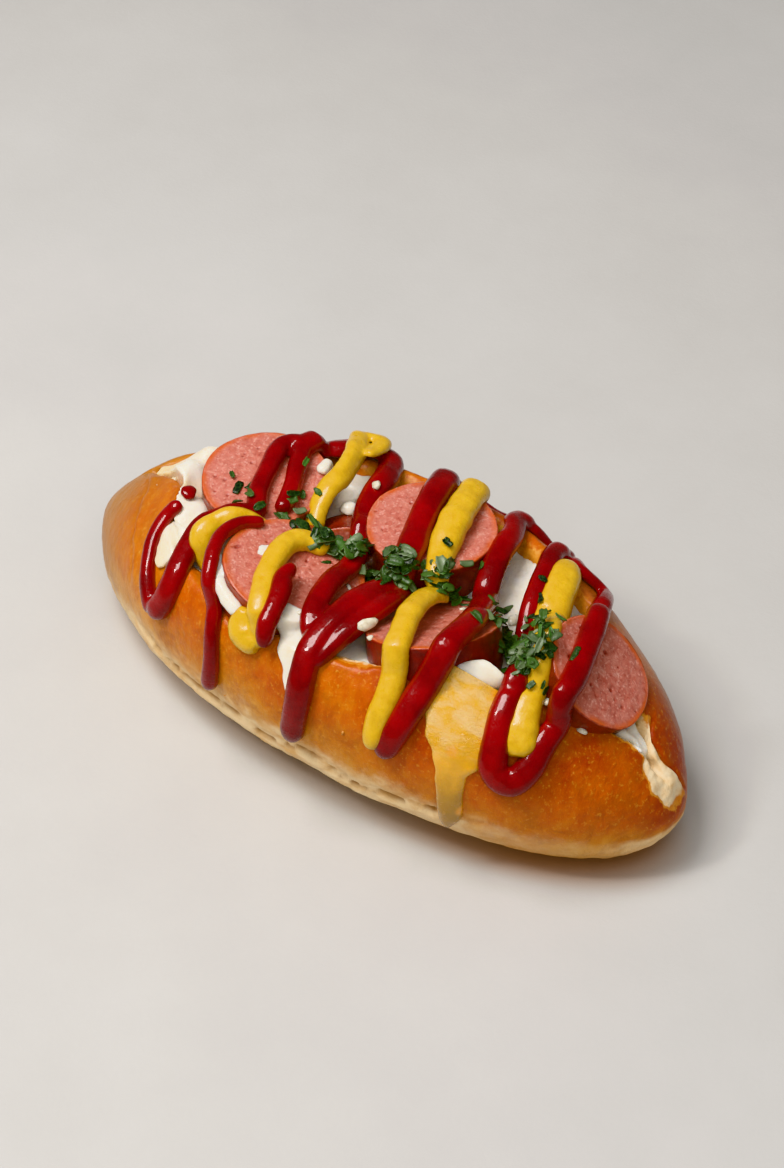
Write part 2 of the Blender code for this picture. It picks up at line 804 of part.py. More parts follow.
def bit_body(surface, place, length, width, rng, lift=0.2 * MM, tilt=25):
    """A chopped piece of leaf: a thin wavy solid that lies on the top."""
    x, lean = place
    reach, _ = surface.reach(x * MM, lean)
    centre = on_axis(x * MM) + outward(lean) * (reach + lift)
    turn = (
        Matrix.Rotation(math.radians(lean), 4, "X").inverted()
        @ Matrix.Rotation(math.radians(rng.uniform(-tilt, tilt)), 4, "X")
        @ Matrix.Rotation(math.radians(rng.uniform(-tilt, tilt)), 4, "Y")
        @ Matrix.Rotation(rng.uniform(0, math.tau), 4, "Z")
    )
    curl = rng.uniform(-0.5, 0.5) * MM
    loops = []
    for share, wide in LEAF_OUTLINE:
        along_x = (share - 0.5) * length * MM
        half = width * MM * wide / 2
        wave = curl * math.sin(math.tau * share)
        loops.append([
            Vector((along_x, side * half, wave + side * curl * 0.5 + rise * BIT_THICKNESS))
            for side, rise in ((-1, 0), (1, 0), (1, 1), (-1, 1))
        ])
    body = loft(loops)
    bmesh.ops.triangulate(body, faces=body.faces)
    bmesh.ops.transform(body, matrix=Matrix.Translation(centre) @ turn, verts=body.verts)
    return body


def crumb_body(surface, place, size, rng):
    """A small rounded lump of chopped onion."""
    x, lean = place
    reach, _ = surface.reach(x * MM, lean)
    centre = on_axis(x * MM) + outward(lean) * (reach + size * 0.15 * MM)
    body = bmesh.new()
    bmesh.ops.create_icosphere(body, subdivisions=1, radius=size / 2 * MM)
    turn = Matrix.Rotation(rng.uniform(0, math.tau), 4, "Z") @ Matrix.Diagonal((1.25, 0.85, 0.8, 1))
    bmesh.ops.transform(body, matrix=Matrix.Translation(centre) @ turn, verts=body.verts)
    return body


def heap(name, surface, row, finish, rng):
    """A heap of chopped leaves: a low core with the bits fused onto it."""
    core = add_object(name, strand_body(surface, row), finish)
    over_core = Surface([core])
    steps = spline(row["path"], 1)
    bits = []
    for i in range(row["bits"]):
        x, lean = steps[rng.randrange(len(steps))]
        half = row["width"][0] / 2
        place = (x + rng.uniform(-half, half) * 0.8, lean + rng.uniform(-half, half) * 0.8 / LEAN_MM)
        if over_core.reach(place[0] * MM, place[1])[0] < 15 * MM:
            continue
        length = rng.uniform(*LEAF_LENGTH)
        lift = rng.uniform(-0.2, 0.8) * MM
        body = bit_body(over_core, place, length, length * rng.uniform(0.45, 0.7), rng, lift, HEAP_TILT)
        bits.append(add_object(f"{name}_bit_{i}", body))
    boolean(core, bits, "UNION")
    return core


def laid(name, bodies, finish, cutters):
    """One node of sauce: its strands joined, then kept clear of all that it lies on."""
    pieces = [add_object(f"{name}_{i}", body) for i, body in enumerate(bodies)]
    first = pieces[0]
    first.name = name
    first.data.materials.append(finish)
    if len(pieces) > 1:
        boolean(first, pieces[1:], "UNION")
    boolean(first, [copied(cutter) for cutter in cutters], "DIFFERENCE")
    tidy(first)
    return first


def main():
    clear_scene()
    rng = random.Random(SEED)
    crust = material("crust", (0.52, 0.22, 0.05), 0.4)
    sausage = material("sausage", (0.72, 0.27, 0.22), 0.45)
    cream = material("cream", (0.82, 0.78, 0.66), 0.35)
    cheese = material("cheese", (0.85, 0.56, 0.16), 0.35)
    ketchup = material("ketchup", (0.32, 0.005, 0.008), 0.2)
    mustard = material("mustard", (0.78, 0.50, 0.03), 0.3)
    leaf = material("herbs", (0.05, 0.12, 0.04), 0.6)

    roll = add_object("roll", roll_body(), crust)
    cutters = [grown(roll)]
    slices = []
    for i, row in enumerate(SLICES):
        slices.append(add_object(f"sausage_slice_{i + 1}", slice_body(row), sausage))
    bare = Surface(slices)
    bits = []
    for i, place in enumerate(BITS_ON_FIRST_SLICE):
        bits.append(add_object(f"leaf_{i}", bit_body(bare, place, 3.6, 2.2, rng, tilt=8)))
    slice_cutters = [grown(piece) for piece in slices + bits]
    boolean(slices[0], bits, "UNION")
    above = slice_cutters[:len(slices) - 1]
    boolean(slices[-1], [copied(cutter) for cutter in above], "DIFFERENCE")
    for piece in slices:
        boolean(piece, [copied(cutters[0])], "DIFFERENCE")
        tidy(piece)

    filling = add_object("filling", filling_body(), cream)
    under_cream = Surface([roll, filling] + slices)
    cream_parts = []
    for i, row in enumerate(CREAM_STRANDS):
        cream_parts.append(add_object(f"cream_{i}", strand_body(under_cream, row)))
    for i, place in enumerate(ONION_ON_FILLING):
        cream_parts.append(add_object(f"onion_{i}", crumb_body(under_cream, place, ONION_SIZE, rng)))
    boolean(filling, cream_parts, "UNION")
    filling_cutter = grown(filling)
    boolean(filling, [grown(roll, FILLING_GAP)] + [copied(cutter) for cutter in slice_cutters], "DIFFERENCE")
    tidy(filling)
    cutters += slice_cutters + [filling_cutter]

    nodes = [roll, filling] + slices
    pools = (
        ("cheese_drip", CHEESE_DRIP, cheese),
        ("cream_drip", CREAM_DRIP, cream),
        ("cream_tongue", CREAM_TONGUE, cream),
    )
    surface = Surface(nodes)
    for name, row, finish in pools:
        pool = laid(name, [sheet_body(surface, row)], finish, cutters)
        nodes.append(pool)
        cutters.append(add_object(f"{name}_cutter", sheet_body(surface, row, GAP)))

    strands = {"ketchup": (KETCHUP, ketchup), "ketchup_drop": (KETCHUP_DROP, ketchup)}
    strands.update({name: (rows, mustard) for name, rows in MUSTARD.items()})
    strands["ketchup_left_drip"] = (KETCHUP_LEFT_DRIP, ketchup)
    strands["ketchup_short_drip"] = (KETCHUP_SHORT_DRIP, ketchup)
    for name, (rows, finish) in strands.items():
        surface = Surface(nodes)
        nodes.append(laid(name, [strand_body(surface, row) for row in rows], finish, cutters))
        for i, row in enumerate(rows):
            cutters.append(add_object(f"{name}_cutter_{i}", strand_body(surface, row, GAP)))

    for name, row in HERBS.items():
        heaped = heap(name, Surface(nodes), row, leaf, rng)
        boolean(heaped, [copied(cutter) for cutter in cutters], "DIFFERENCE")
        tidy(heaped)
        nodes.append(heaped)
    for cutter in cutters:
        bpy.data.objects.remove(cutter, do_unlink=True)


main()
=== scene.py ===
"""A soft split roll with sausage slices, creamy sauce, ketchup, mustard and herbs, dressed over its frame.

The roll lies along X on the floor, with -Y toward the viewer. A place on the outside is given by
its distance along X in mm and by how far it leans round the roll's long axis: 0 degrees is
straight up, -90 the near flank, 90 the far one.
"""

import math
import random

import bmesh
import bpy
import numpy as np
from mathutils import Matrix, Vector, noise
from mathutils.bvhtree import BVHTree


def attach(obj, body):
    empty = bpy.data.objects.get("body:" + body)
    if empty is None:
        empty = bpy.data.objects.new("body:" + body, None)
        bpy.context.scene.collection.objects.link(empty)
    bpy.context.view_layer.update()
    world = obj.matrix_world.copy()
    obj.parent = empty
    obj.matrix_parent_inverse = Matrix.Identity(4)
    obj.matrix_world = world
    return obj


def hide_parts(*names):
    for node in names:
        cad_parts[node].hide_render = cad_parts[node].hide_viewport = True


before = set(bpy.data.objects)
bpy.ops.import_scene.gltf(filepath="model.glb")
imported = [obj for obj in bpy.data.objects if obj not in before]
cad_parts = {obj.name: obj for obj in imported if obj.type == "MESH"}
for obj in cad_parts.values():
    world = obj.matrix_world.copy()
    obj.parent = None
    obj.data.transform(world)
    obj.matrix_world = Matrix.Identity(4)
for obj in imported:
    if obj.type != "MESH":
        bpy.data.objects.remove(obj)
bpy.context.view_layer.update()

MM = 0.001
SEED = 11

# Roll
ROLL_LENGTH = 190 * MM
ROLL_WIDTH = 87 * MM
ROLL_HEIGHT = 60 * MM
TIP_HEIGHT = 15 * MM
WAIST_SHARE = 0.42
FLANK_POWER = 0.9
SLOT_FLOOR = 20 * MM
WALL = 6 * MM
SLOT_START = -0.86
SLOT_END = 0.97
CRUST_LUMP = 0.7 * MM
LUMP_SIZE = 17
ROLL_SECTIONS = 124
LOW_POINTS = 7
HIGH_POINTS = 9
# Each lip is where the split starts: a place along the half length, and a share of the half width.
NEAR_LIP = (
    (-1, 0.1), (-0.76, 0.17), (-0.66, 0.30), (-0.57, 0.66), (-0.45, 0.80), (-0.2, 0.89),
    (0.12, 0.82), (0.5, 0.60), (0.69, 0.41), (0.8, 0.25), (0.89, 0.12), (1, 0.1),
)
FAR_LIP = (
    (-1, 0.1), (-0.76, 0.54), (-0.45, 0.84), (-0.1, 0.90),
    (0.15, 0.89), (0.5, 0.76), (0.74, 0.58), (0.84, 0.38), (0.9, 0.2), (1, 0.15),
)
# The lip's rounded edge and cut wall: steps in mm inward and up, and how bare of crust each is
LIP_STEPS = (
    (0.9, 0.5, 0), (1.8, 0.7, 0.1), (3.0, 0.3, 0.45), (4.2, -0.6, 0.85),
    (5.2, -1.9, 1), (6, -3.5, 1), (6.8, -6, 1), (7.5, -9, 1),
)
LIP_JITTER = 0.9 * MM
# The crease that runs along the foot of the near and far flanks
CREASE_HEIGHT = 18 * MM
CREASE_DEPTH = 1.3 * MM
CREASE_SHELF = 0.6 * MM
CREASE_REACH = 0.34
# How much the cut wall shows its crumb along the half length, on the near and the far side
NEAR_BARE = (
    (-1, 0), (-0.5, 0.1), (-0.1, 0.3), (0.04, 0.5), (0.1, 1), (0.2, 1), (0.28, 0.45), (0.4, 0.45),
    (0.6, 1), (1, 1),
)
FAR_BARE = ((-1, 0), (-0.5, 0.1), (-0.2, 0.4), (0.5, 0.5), (0.8, 0.9), (1, 1))
# The torn right end: along x, where the bare crumb starts on the near side and ends on the far one
TORN_START = 78
TORN_NEAR = ((TORN_START, -4), (84, -2.4), (87, -4.6), (90, -6), (92, -4.5), (95, -2))
TORN_FAR = ((TORN_START, 11), (84, 4.5), (88, 4), (91, 5.5), (95, 7))
TORN_FOOT = 17 * MM
TORN_DEPTH = 0.1 * MM
# The fold in the crust behind the left tip, as (lean, x) up to its end over the crown
FOLD_RIGHT = -56
FOLD_END = 25
FOLD = ((-71, -61), (-65, -63), (-57, -66), (-47, -69), (-34, -72), (8, -80))

# The axis that the leans are measured round
AXIS_HEIGHT = 24 * MM

# Sausage slices
SLICE_SIDES = 200
FACE_RINGS = 52
EDGE_RINGS = 7
SKIN_RINGS = 12
SLICE_ROUNDING = 1.3 * MM
# Each slice: centre of the cut face, which way the face looks, diameter, thickness, and how wet and darkened
# by painted shade its skin is
SLICES = (
    {"at": (-43, 7, 50.5), "faces": (0.05, 0, 1), "across": 35, "thick": 12, "wet": 0.5},
    {"at": (-14, -17, 52), "faces": (0.20, 0.13, 0.97), "across": 37, "thick": 11, "wet": 0.5},
    {"at": (4, 18, 51.5), "faces": (-0.02, 0.02, 1), "across": 35, "thick": 13, "wet": 0.9},
    {"at": (25, -10, 51), "faces": (-0.30, 0.29, 0.90), "across": 35, "thick": 14, "wet": 1},
    {"at": (67, 4, 48), "faces": (0.62, 0.17, 0.77), "across": 31, "thick": 12, "wet": 0.8},
    {"at": (-13, 2.5, 35.5), "faces": (0.45, -0.82, 0.35), "across": 27, "thick": 10, "wet": 0.8},
)
PITS = 60
PIT_RADIUS = (0.22, 0.75)

# Creamy filling
FILLING_SECTIONS = 170
FILLING_ACROSS = 52
FILLING_DIP = 3.5 * MM
FILLING_OVERSIZE = 1.5 * MM
FILLING_START = -0.82
FILLING_END = 0.88
FILLING_VOXEL = 0.6 * MM

# Sauce strands
LEAN_MM = 0.6
THIN_EDGE = 1.3 * MM
REACH = 90 * MM
STRAND_STEP = 0.9
STRAND_DROP = 0.75
STRAND_SINK = 0.5 * MM
STRAND_SIDES = 18
SAUCE_VOXEL = 0.42 * MM
KETCHUP_LUMP = 0.05
MUSTARD_LUMP = 0.09
CREAM_LUMP = 0.14
EVENING = 12


def stroke(width, high, *path):
    """A strand: width and height in mm along its run, and its path as (x in mm, lean in degrees)."""
    return {"width": width, "high": high, "path": path}


# The sauces in the order in which they were laid
SAUCES = {
    "ketchup": (
        stroke((4.4, 4.6, 5.4), (2, 2.4, 3),
               (-55, -28), (-57, -37), (-57, -46), (-56, -54), (-53, -64), (-50, -71), (-46, -77)),
        stroke((7, 7, 5.6), (3.4, 3.2, 3),
               (-46, -77), (-43, -68), (-42, -58), (-44, -48), (-45, -39), (-44, -29), (-40, -19),
               (-34, -11)),
        stroke((5.5, 5.5, 6, 5.5, 5), (3.2, 3.4, 3.6, 3.4, 3),
               (-35, -14), (-40, 0), (-44, 20), (-46, 33), (-42, 38), (-38, 28), (-34, 14), (-31, -3)),
        stroke((6.5, 9, 7.5, 6.2, 5.8, 6.4, 7), (3.4, 4.2, 3.6, 3.2, 3, 3, 3),
               (-42, 32), (-40, 50), (-33, 58), (-24, 60), (-20, 53), (-15, 30), (-8, 6), (-5, -12),
               (-4, -28), (-1, -42), (4, -52)),
        stroke((7.2, 8, 8.2, 8, 8, 7.6, 7.4), (3.4, 3.6, 3.6, 3.4, 3.4, 3.4, 3.4),
               (-2, 72), (-7, 64), (-4, 54), (1, 34), (6, 12), (8, -6), (7, -25), (6, -41), (5.5, -52),
               (6.5, -63), (7, -74), (6, -88)),
        stroke((6, 7, 6.5, 5), (3, 3.4, 3.2, 2.6), (11, -8), (12, -22), (12, -34), (10, -46), (8, -58)),
        stroke((5, 6.5, 6.5, 5), (2.6, 3.2, 3.2, 2.6), (-4, 68), (4, 75), (14, 73), (20, 64)),
        stroke((7, 7, 7, 7.4, 7.8, 7.4), (3.4, 3.4, 3.2, 3.4, 3.6, 3.4),
               (20, 66), (18, 59), (21, 50), (26, 30), (32, 4), (37, -22), (36, -46), (35, -60),
               (33.5, -70), (32, -77)),
        stroke((5, 5, 5), (2.6, 2.6, 2.6), (20, 62), (26, 72), (33, 66), (35, 58)),
        stroke((6.5, 6, 6, 6.6, 7.2, 7.8, 7.2, 6.6), (3.4, 3.2, 3.2, 3.4, 3.6, 3.6, 3.6, 3.4),
               (34, 60), (34, 53), (37, 42), (42, 20), (48, -6), (53, -27), (55, -44), (57, -57), (59, -68),
               (63.5, -71), (66, -62), (66, -47), (66.5, -33), (66, -24)),
        stroke((5, 5, 6, 6.6, 6.8, 6), (2.6, 2.6, 3.2, 3.4, 3.4, 3.2),
               (37, 62), (42, 56), (48, 63), (52, 54), (58, 28), (63, 2), (66, -20), (66, -36)),
    ),
    "ketchup_drop": (
        stroke((5, 7), (1.6, 1.8), (-58, -22), (-54.5, -19)),
    ),
    "mustard_far_left": (
        stroke((5.6, 6.8, 6.8, 5.6), (2.4, 3.2, 3.2, 2.8),
               (-35, 56), (-31, 50), (-27, 34), (-25, 18), (-23, 8)),
        stroke((5.6, 5.6, 3.6), (2.2, 2.2, 1.6), (-34, 55), (-29, 57.5), (-26, 54), (-25, 45)),
    ),
    "mustard_near_left": (
        stroke((4, 6, 7.2, 7.6), (2.4, 3, 3.2, 3.4),
               (-30, -15), (-36, -19), (-40, -25), (-42, -32), (-42, -39), (-39, -46), (-35, -50),
               (-31, -54)),
    ),
    "mustard_left": (
        stroke((5.4, 6.8, 6.6, 6.4, 7.4), (2.8, 3.4, 3.2, 3.2, 3.4),
               (-12, -12), (-18, -15), (-20, -24), (-17, -38), (-12, -48), (-9, -55), (-9, -61)),
        stroke((6, 9, 8.6), (2.8, 4.2, 4), (-15, -51), (-15, -56), (-12.5, -60), (-8, -61)),
    ),
    "mustard_middle": (
        stroke((8, 8.6, 9, 7.6, 6.6), (3.4, 3.2, 3.8, 3.2, 3.2),
               (3, 60), (6, 50), (10, 33), (14, 16), (18, 2)),
        stroke((6.6, 7, 7, 7.2, 6.8, 6.6), (3.4, 3, 3, 3.4, 3.2, 3.2),
               (20, 2), (20, -12), (22, -26), (26, -38), (28, -48), (29, -57), (29, -66), (30, -75)),
    ),
    "mustard_right": (
        stroke((9.4, 10, 8, 6.8), (3.8, 4, 3.4, 3), (39, 53), (44, 36), (50, 14), (55, -6)),
        stroke((6.6, 6.4, 8.6, 10), (3, 3.2, 4, 4),
               (55, -5), (58, -21), (58.5, -35), (60.5, -47), (63, -59)),
    ),
    "ketchup_left_drip": (
        stroke((3.5, 4.5, 4.5, 5), (2.2, 2.6, 2.6, 3),
               (-29, -19), (-33, -25), (-34, -32), (-32, -39), (-29, -46), (-26, -54), (-23, -67),
               (-22, -78), (-23, -90)),
    ),
    "ketchup_short_drip": (
        stroke((4, 6, 5.5, 5), (2.6, 2.8, 2.8, 2.8),
               (-12, -31), (-12, -37), (-9.5, -42), (-7.5, -49), (-6, -59)),
    ),
}
CREAM_STRANDS = (
    stroke((3.4, 4), (1.5, 1.8), (-35, 47), (-32, 32)),
    stroke((5, 6, 6), (3, 3.4, 3.4), (-25, 55), (-22, 44), (-20, 30)),
    stroke((8, 8), (2.6, 2.6), (48, 46), (50, 38)),
    stroke((7, 10, 8), (1.6, 2.6, 2.4), (40, -39), (46, -32), (54, -26)),
    stroke((3, 4, 4.5), (2, 2.4, 2.4), (-31, -40), (-27, -47), (-22, -51), (-16, -54)),
    stroke((6, 7), (2.6, 2.8), (-4, 3), (3, -3), (8, -6)),
)
# Mounds of the filling beside the first slice: x and y, how far they rise and their radius, in mm
MOUNDS = ((-62, 8, 7, 8), (-61, -1, 8, 8), (-54, -10, 9, 8), (-45, -14, 9, 8))

# Thin pools that run down the crust: rows of (lean in degrees, left x, right x)
POOLS = {
    "cheese_drip": {
        "thick": 1.6,
        "slot": "cheese",
        "rows": (
            (-35, 39, 52), (-44, 37.5, 54), (-54, 38, 56), (-62, 40.5, 56.5), (-69, 44, 55.5),
            (-76, 46, 53.5), (-88, 47, 53.5), (-98, 47.3, 53.3), (-105, 48.8, 51.8),
        ),
    },
    "cream_drip": {
        "thick": 1.4,
        "slot": "cream",
        "rows": ((-44, -8, 3), (-52, -7.5, 5), (-58, -3.5, 6), (-65, 0.5, 7), (-73, 3.5, 7)),
    },
    "cream_tongue": {
        "thick": 1.2,
        "slot": "cream",
        "rows": (
            (-38, -56, -47.5), (-45, -55.5, -46.5), (-52, -54.5, -46.5), (-57, -53, -48), (-60, -51.5, -49),
        ),
    },
}
POOL_ROWS = 60
POOL_ACROSS = 28
POOL_VOXEL = 0.4 * MM

# Chopped leaves: heaps along a path, and single ones at (x, lean)
HEAPS = {
    "herbs_middle": {
        "width": 12,
        "high": 3.4,
        "path": ((-30, 0), (-20, -4), (-10, -5), (0, -4), (10, -4), (17, 2), (22, 10)),
        "leaves": 190,
    },
    "herbs_right": {
        "width": 17,
        "high": 4.2,
        "path": ((37, 3), (42, 0), (47, -4), (52, -9), (56, -14)),
        "leaves": 125,
    },
}
SINGLE_LEAVES = (
    (-46, -2), (-41, -14), (-40, -6), (-31, 7), (-31, 16), (-27, 18), (-36, 27), (-30, -5),
    (-35, -10), (23, 27), (26, 8), (33, 10), (-12, 8), (5, -14), (61, -24), (48, 14), (39, 33),
    (33, 32), (14, 19), (18, 14), (-44, 4), (-50, 3), (-25, 2), (-6, 6), (42, 26), (12, 8),
    (-22, -8), (-14, -13), (4, 0), (9, 2), (14, -9), (22, -3), (24, 14), (20, 22), (-17, -1), (2, 6),
)
LEAF_LENGTH = (2.2, 5.0)
SINGLE_LENGTH = (2.6, 4.8)
LEAF_THICKNESS = 0.22
LEAF_ROWS = 7
LEAF_SIDES = (-1, -0.5, 0, 0.5, 1)
CRUMBS = 8
FLAKE_THICKNESS = 0.24
# Bits of onion at (x, lean), with a size in mm
ONION = (
    (14, -37, 4.2), (3, -5, 4), (36, 30, 3.4), (62, -27, 2.6), (-17, 38, 3.2), (17, -41, 2), (71, -30, 2.6),
    (-1, -24, 1.8), (27, 1, 1.6), (-3, -45, 1.8),
)
DAB_VOXEL = 0.35 * MM
DAB_SINK = 0.3
# Dabs of cream at (x, lean), with a size and a height in mm
CREAM_DABS = (
    (-23, -30, 4.6, 0.6), (-14, -43, 4.2, 0.9), (-4, -27, 3.2, 0.7), (-3, -37, 2.6, 0.6), (2, -2, 3, 0.8),
    (-27, -46, 3.6, 0.4), (82, -5, 4, 0.6),
    (-71, -17, 6, 0.3), (-75, -50, 3, 0.3), (-69, -6, 4, 0.3),
)


# Numbers


def mix(a, b, share):
    return a + (b - a) * share


def clamp(value, low=0.0, high=1.0):
    return max(low, min(high, value))


def ease(value):
    value = clamp(value)
    return value * value * (3 - 2 * value)


def hill(value, width):
    """1 at 0, falling smoothly away on both sides."""
    return math.exp(-(value / width) ** 2)


def along(points, place):
    """The smooth value at a place on a list of (place, value) points."""
    for (start, first), (end, second) in zip(points, points[1:]):
        if place <= end:
            return mix(first, second, ease((place - start) / (end - start)))
    return points[-1][1]


def profile(values, share):
    """A smooth value from evenly spaced ones."""
    return along([(i / (len(values) - 1), value) for i, value in enumerate(values)], share)


def curve(before, start, end, after, t):
    """A smooth value between start and end that also heeds the values on either side."""
    slope = end - before
    bend = 2 * before - 5 * start + 4 * end - after
    twist = 3 * start - before - 3 * end + after
    return start + 0.5 * (slope * t + bend * t * t + twist * t ** 3)


def spline(points, spacing):
    """Even steps along a smooth curve through (x in mm, lean in degrees)."""
    ends = [points[0]] + list(points) + [points[-1]]
    fine = []
    for a, b, c, d in zip(ends, ends[1:], ends[2:], ends[3:]):
        for step in range(12):
            fine.append([curve(*values, step / 12) for values in zip(a, b, c, d)])
    fine.append(list(points[-1]))
    run = [0.0]
    for (x, lean), (next_x, next_lean) in zip(fine, fine[1:]):
        run.append(run[-1] + math.hypot(next_x - x, (next_lean - lean) * LEAN_MM))
    count = max(3, round(run[-1] / spacing))
    steps = []
    i = 0
    for k in range(count + 1):
        goal = run[-1] * k / count
        while i < len(run) - 2 and run[i + 1] < goal:
            i += 1
        share = (goal - run[i]) / max(run[i + 1] - run[i], 1e-9)
        steps.append([mix(p, q, share) for p, q in zip(fine[i], fine[i + 1])])
    return steps


def wander(place, size, seed=0.0):
    """Soft noise between about -1 and 1 at a place in metres, for lumps of this size in mm."""
    return noise.noise(Vector(place) / (size * MM) + Vector((seed, seed * 0.37, -seed)))


def relief(place, size, deep, seed):
    """Lumps of this size and depth in mm."""
    return wander(place, size, seed) * deep * MM


# Meshes


def linked(name, data):
    """An object with this data, in the scene, with smooth faces if it is a mesh."""
    obj = bpy.data.objects.new(name, data)
    bpy.context.scene.collection.objects.link(obj)
    if obj.type == "MESH":
        data.polygons.foreach_set("use_smooth", [True] * len(data.polygons))
    return obj


def add_object(name, points, faces):
    mesh = bpy.data.meshes.new(name)
    mesh.from_pydata([tuple(point) for point in points], [], faces)
    mesh.validate()
    body = bmesh.new()
    body.from_mesh(mesh)
    bmesh.ops.recalc_face_normals(body, faces=body.faces)
    body.to_mesh(mesh)
    body.free()
    return linked(name, mesh)


def joined(shapes):
    """Points and faces of many (points, faces) shapes as one."""
    points = []
    faces = []
    for more_points, more_faces in shapes:
        start = len(points)
        points += more_points
        faces += [tuple(start + i for i in face) for face in more_faces]
    return points, faces


def loft(loops, start=None, end=None):
    """A closed shape through loops of points, ending in the points given or else in flat caps."""
    points = [point for loop in loops for point in loop]
    size = len(loops[0])
    faces = []
    for row in range(len(loops) - 1):
        base = row * size
        for i in range(size):
            j = (i + 1) % size
            faces.append((base + i, base + j, base + size + j, base + size + i))
    for base, point in ((0, start), (len(points) - size, end)):
        if point is None:
            faces.append(tuple(range(base, base + size)))
            continue
        points = points + [Vector(point)]
        tip = len(points) - 1
        faces += [(base + i, base + (i + 1) % size, tip) for i in range(size)]
    return points, faces


def apply_modifiers(obj):
    bpy.context.view_layer.update()
    graph = bpy.context.evaluated_depsgraph_get()
    shaped = obj.evaluated_get(graph)
    mesh = bpy.data.meshes.new_from_object(shaped, preserve_all_data_layers=True, depsgraph=graph)
    obj.modifiers.clear()
    obj.data = mesh
    mesh.polygons.foreach_set("use_smooth", [True] * len(mesh.polygons))
    return obj


def remeshed(obj, voxel, smoothing):
    """Joins the overlapping shapes of a mesh into one even skin."""
    skin = obj.modifiers.new("skin", "REMESH")
    skin.mode = "VOXEL"
    skin.voxel_size = voxel
    soft = obj.modifiers.new("soft", "SMOOTH")
    soft.factor = 0.5
    soft.iterations = smoothing
    return apply_modifiers(obj)


def move_points(obj, points):
    obj.data.vertices.foreach_set("co", np.array(points).ravel())
    obj.data.update()


def set_attribute(obj, name, values):
    found = obj.data.attributes.get(name) or obj.data.attributes.new(name, "FLOAT", "POINT")
    found.data.foreach_set("value", values)


# Roll


def half_width(u):
    power = 0.68 if u < 0 else 0.56
    return ROLL_WIDTH / 2 * (1 - abs(u) ** 2.1) ** power


def crown(u):
    return TIP_HEIGHT + (ROLL_HEIGHT - TIP_HEIGHT) * (1 - abs(u) ** 1.9) ** 0.6


def underside(u):
    return TIP_HEIGHT * (1 - (1 - abs(u) ** 8) ** 0.5)


def turn_at(share):
    """How far round the flank a share of the half width lies, from 0 at its widest."""
    return math.acos(clamp(abs(share)) ** (1 / FLANK_POWER))


def flank(u, share, side, below=False):
    """The point of the crust at a share of the half width, on the upper or the lower half of one side."""
    low = underside(u)
    top = crown(u)
    waist = mix(low, top, WAIST_SHARE)
    turn = turn_at(share)
    y = side * half_width(u) * share
    if below:
        return y, max(low, waist - 1.15 * (waist - low) * math.sin(turn) ** 0.8)
    return y, waist + (top - waist) * math.sin(turn) ** 0.75


def lip_share(u, side):
    return along(NEAR_LIP if side < 0 else FAR_LIP, u)


def split_depth(u):
    return ease((u - SLOT_START) / 0.12) * ease((SLOT_END - u) / 0.16)


def slot_middle(u):
    return half_width(u) * (lip_share(u, 1) - lip_share(u, -1)) / 2


def lip_and_wall(u, side):
    """From the lip over its rounded edge and down the cut wall, as (y, z, how bare of crust)."""
    share = lip_share(u, side)
    ragged = Vector((u * 20, side * 3.0, 0))
    share += noise.noise(ragged * 1.3) * 0.012 + noise.noise(ragged * 4.1) * 0.008
    lip_y, lip_z = flank(u, share, side)
    reach = abs(lip_y - slot_middle(u))
    room = min(1.0, reach / (12 * MM))
    depth = split_depth(u)
    floor = mix(lip_z, max(SLOT_FLOOR, underside(u) + 8 * MM), depth)
    points = []
    showing = along(NEAR_BARE if side < 0 else FAR_BARE, u)
    flaky = 1 + 1.4 * ease(u / 0.1) * ease((0.5 - u) / 0.1) * (side < 0)
    for over, up, bare in LIP_STEPS:
        rough = LIP_JITTER * flaky * noise.noise(ragged * 5 + Vector((0, over, 7))) * min(1, over / 2) * room
        cut_y = lip_y - side * min(over * MM * room, reach * 0.8)
        cut_z = max(lip_z + up * MM * room + rough, floor)
        crust_z = flank(u, abs(mix(share, 0, over * MM / (WALL * 2.5))), side)[1]
        points.append((cut_y, mix(crust_z, cut_z, depth), bare * showing * ease(depth * 4)))
    last_y, last_z, bare = points[-1]
    points.append((mix(last_y, slot_middle(u), 0.35), mix(last_z, floor, 0.85), bare))
    return [(lip_y, lip_z, 0.0)] + points


def roll_loop(u):
    """One section of the roll as (y, z, bareness), from the base up each side and down into the split."""
    halves = []
    for side in (-1, 1):
        share = lip_share(u, side)
        last = turn_at(share)
        low = [math.sin(math.pi / 2 * i / LOW_POINTS) for i in range(1, LOW_POINTS + 1)]
        high = [math.cos(last * i / HIGH_POINTS) ** FLANK_POWER for i in range(1, HIGH_POINTS)]
        points = [flank(u, value, side, below=True) + (0.0,) for value in low]
        points += [flank(u, value, side) + (0.0,) for value in high]
        halves.append(points + lip_and_wall(u, side))
    near, far = halves
    floor = (slot_middle(u), min(near[-1][1], far[-1][1]), near[-1][2])
    return [(0, underside(u), 0.0)] + near + [floor] + far[::-1]


def crease_at(place):
    """The height of the crease at a place, how open it is there, and how marked it is along the roll."""
    x = place[0]
    height = CREASE_HEIGHT + relief((x, 0, 0), 16, 3.2, 2.0) + relief((x, 0, 0), 5, 1.2, 4.0)
    height += relief((x, 0, 0), 2, 0.7, 8.0)
    middle = ease((ROLL_LENGTH * CREASE_REACH - abs(x)) / (20 * MM))
    wrinkle = max(0.2, 0.8 + wander(place, 8, 9.0) * 0.9)
    return height, wrinkle, middle


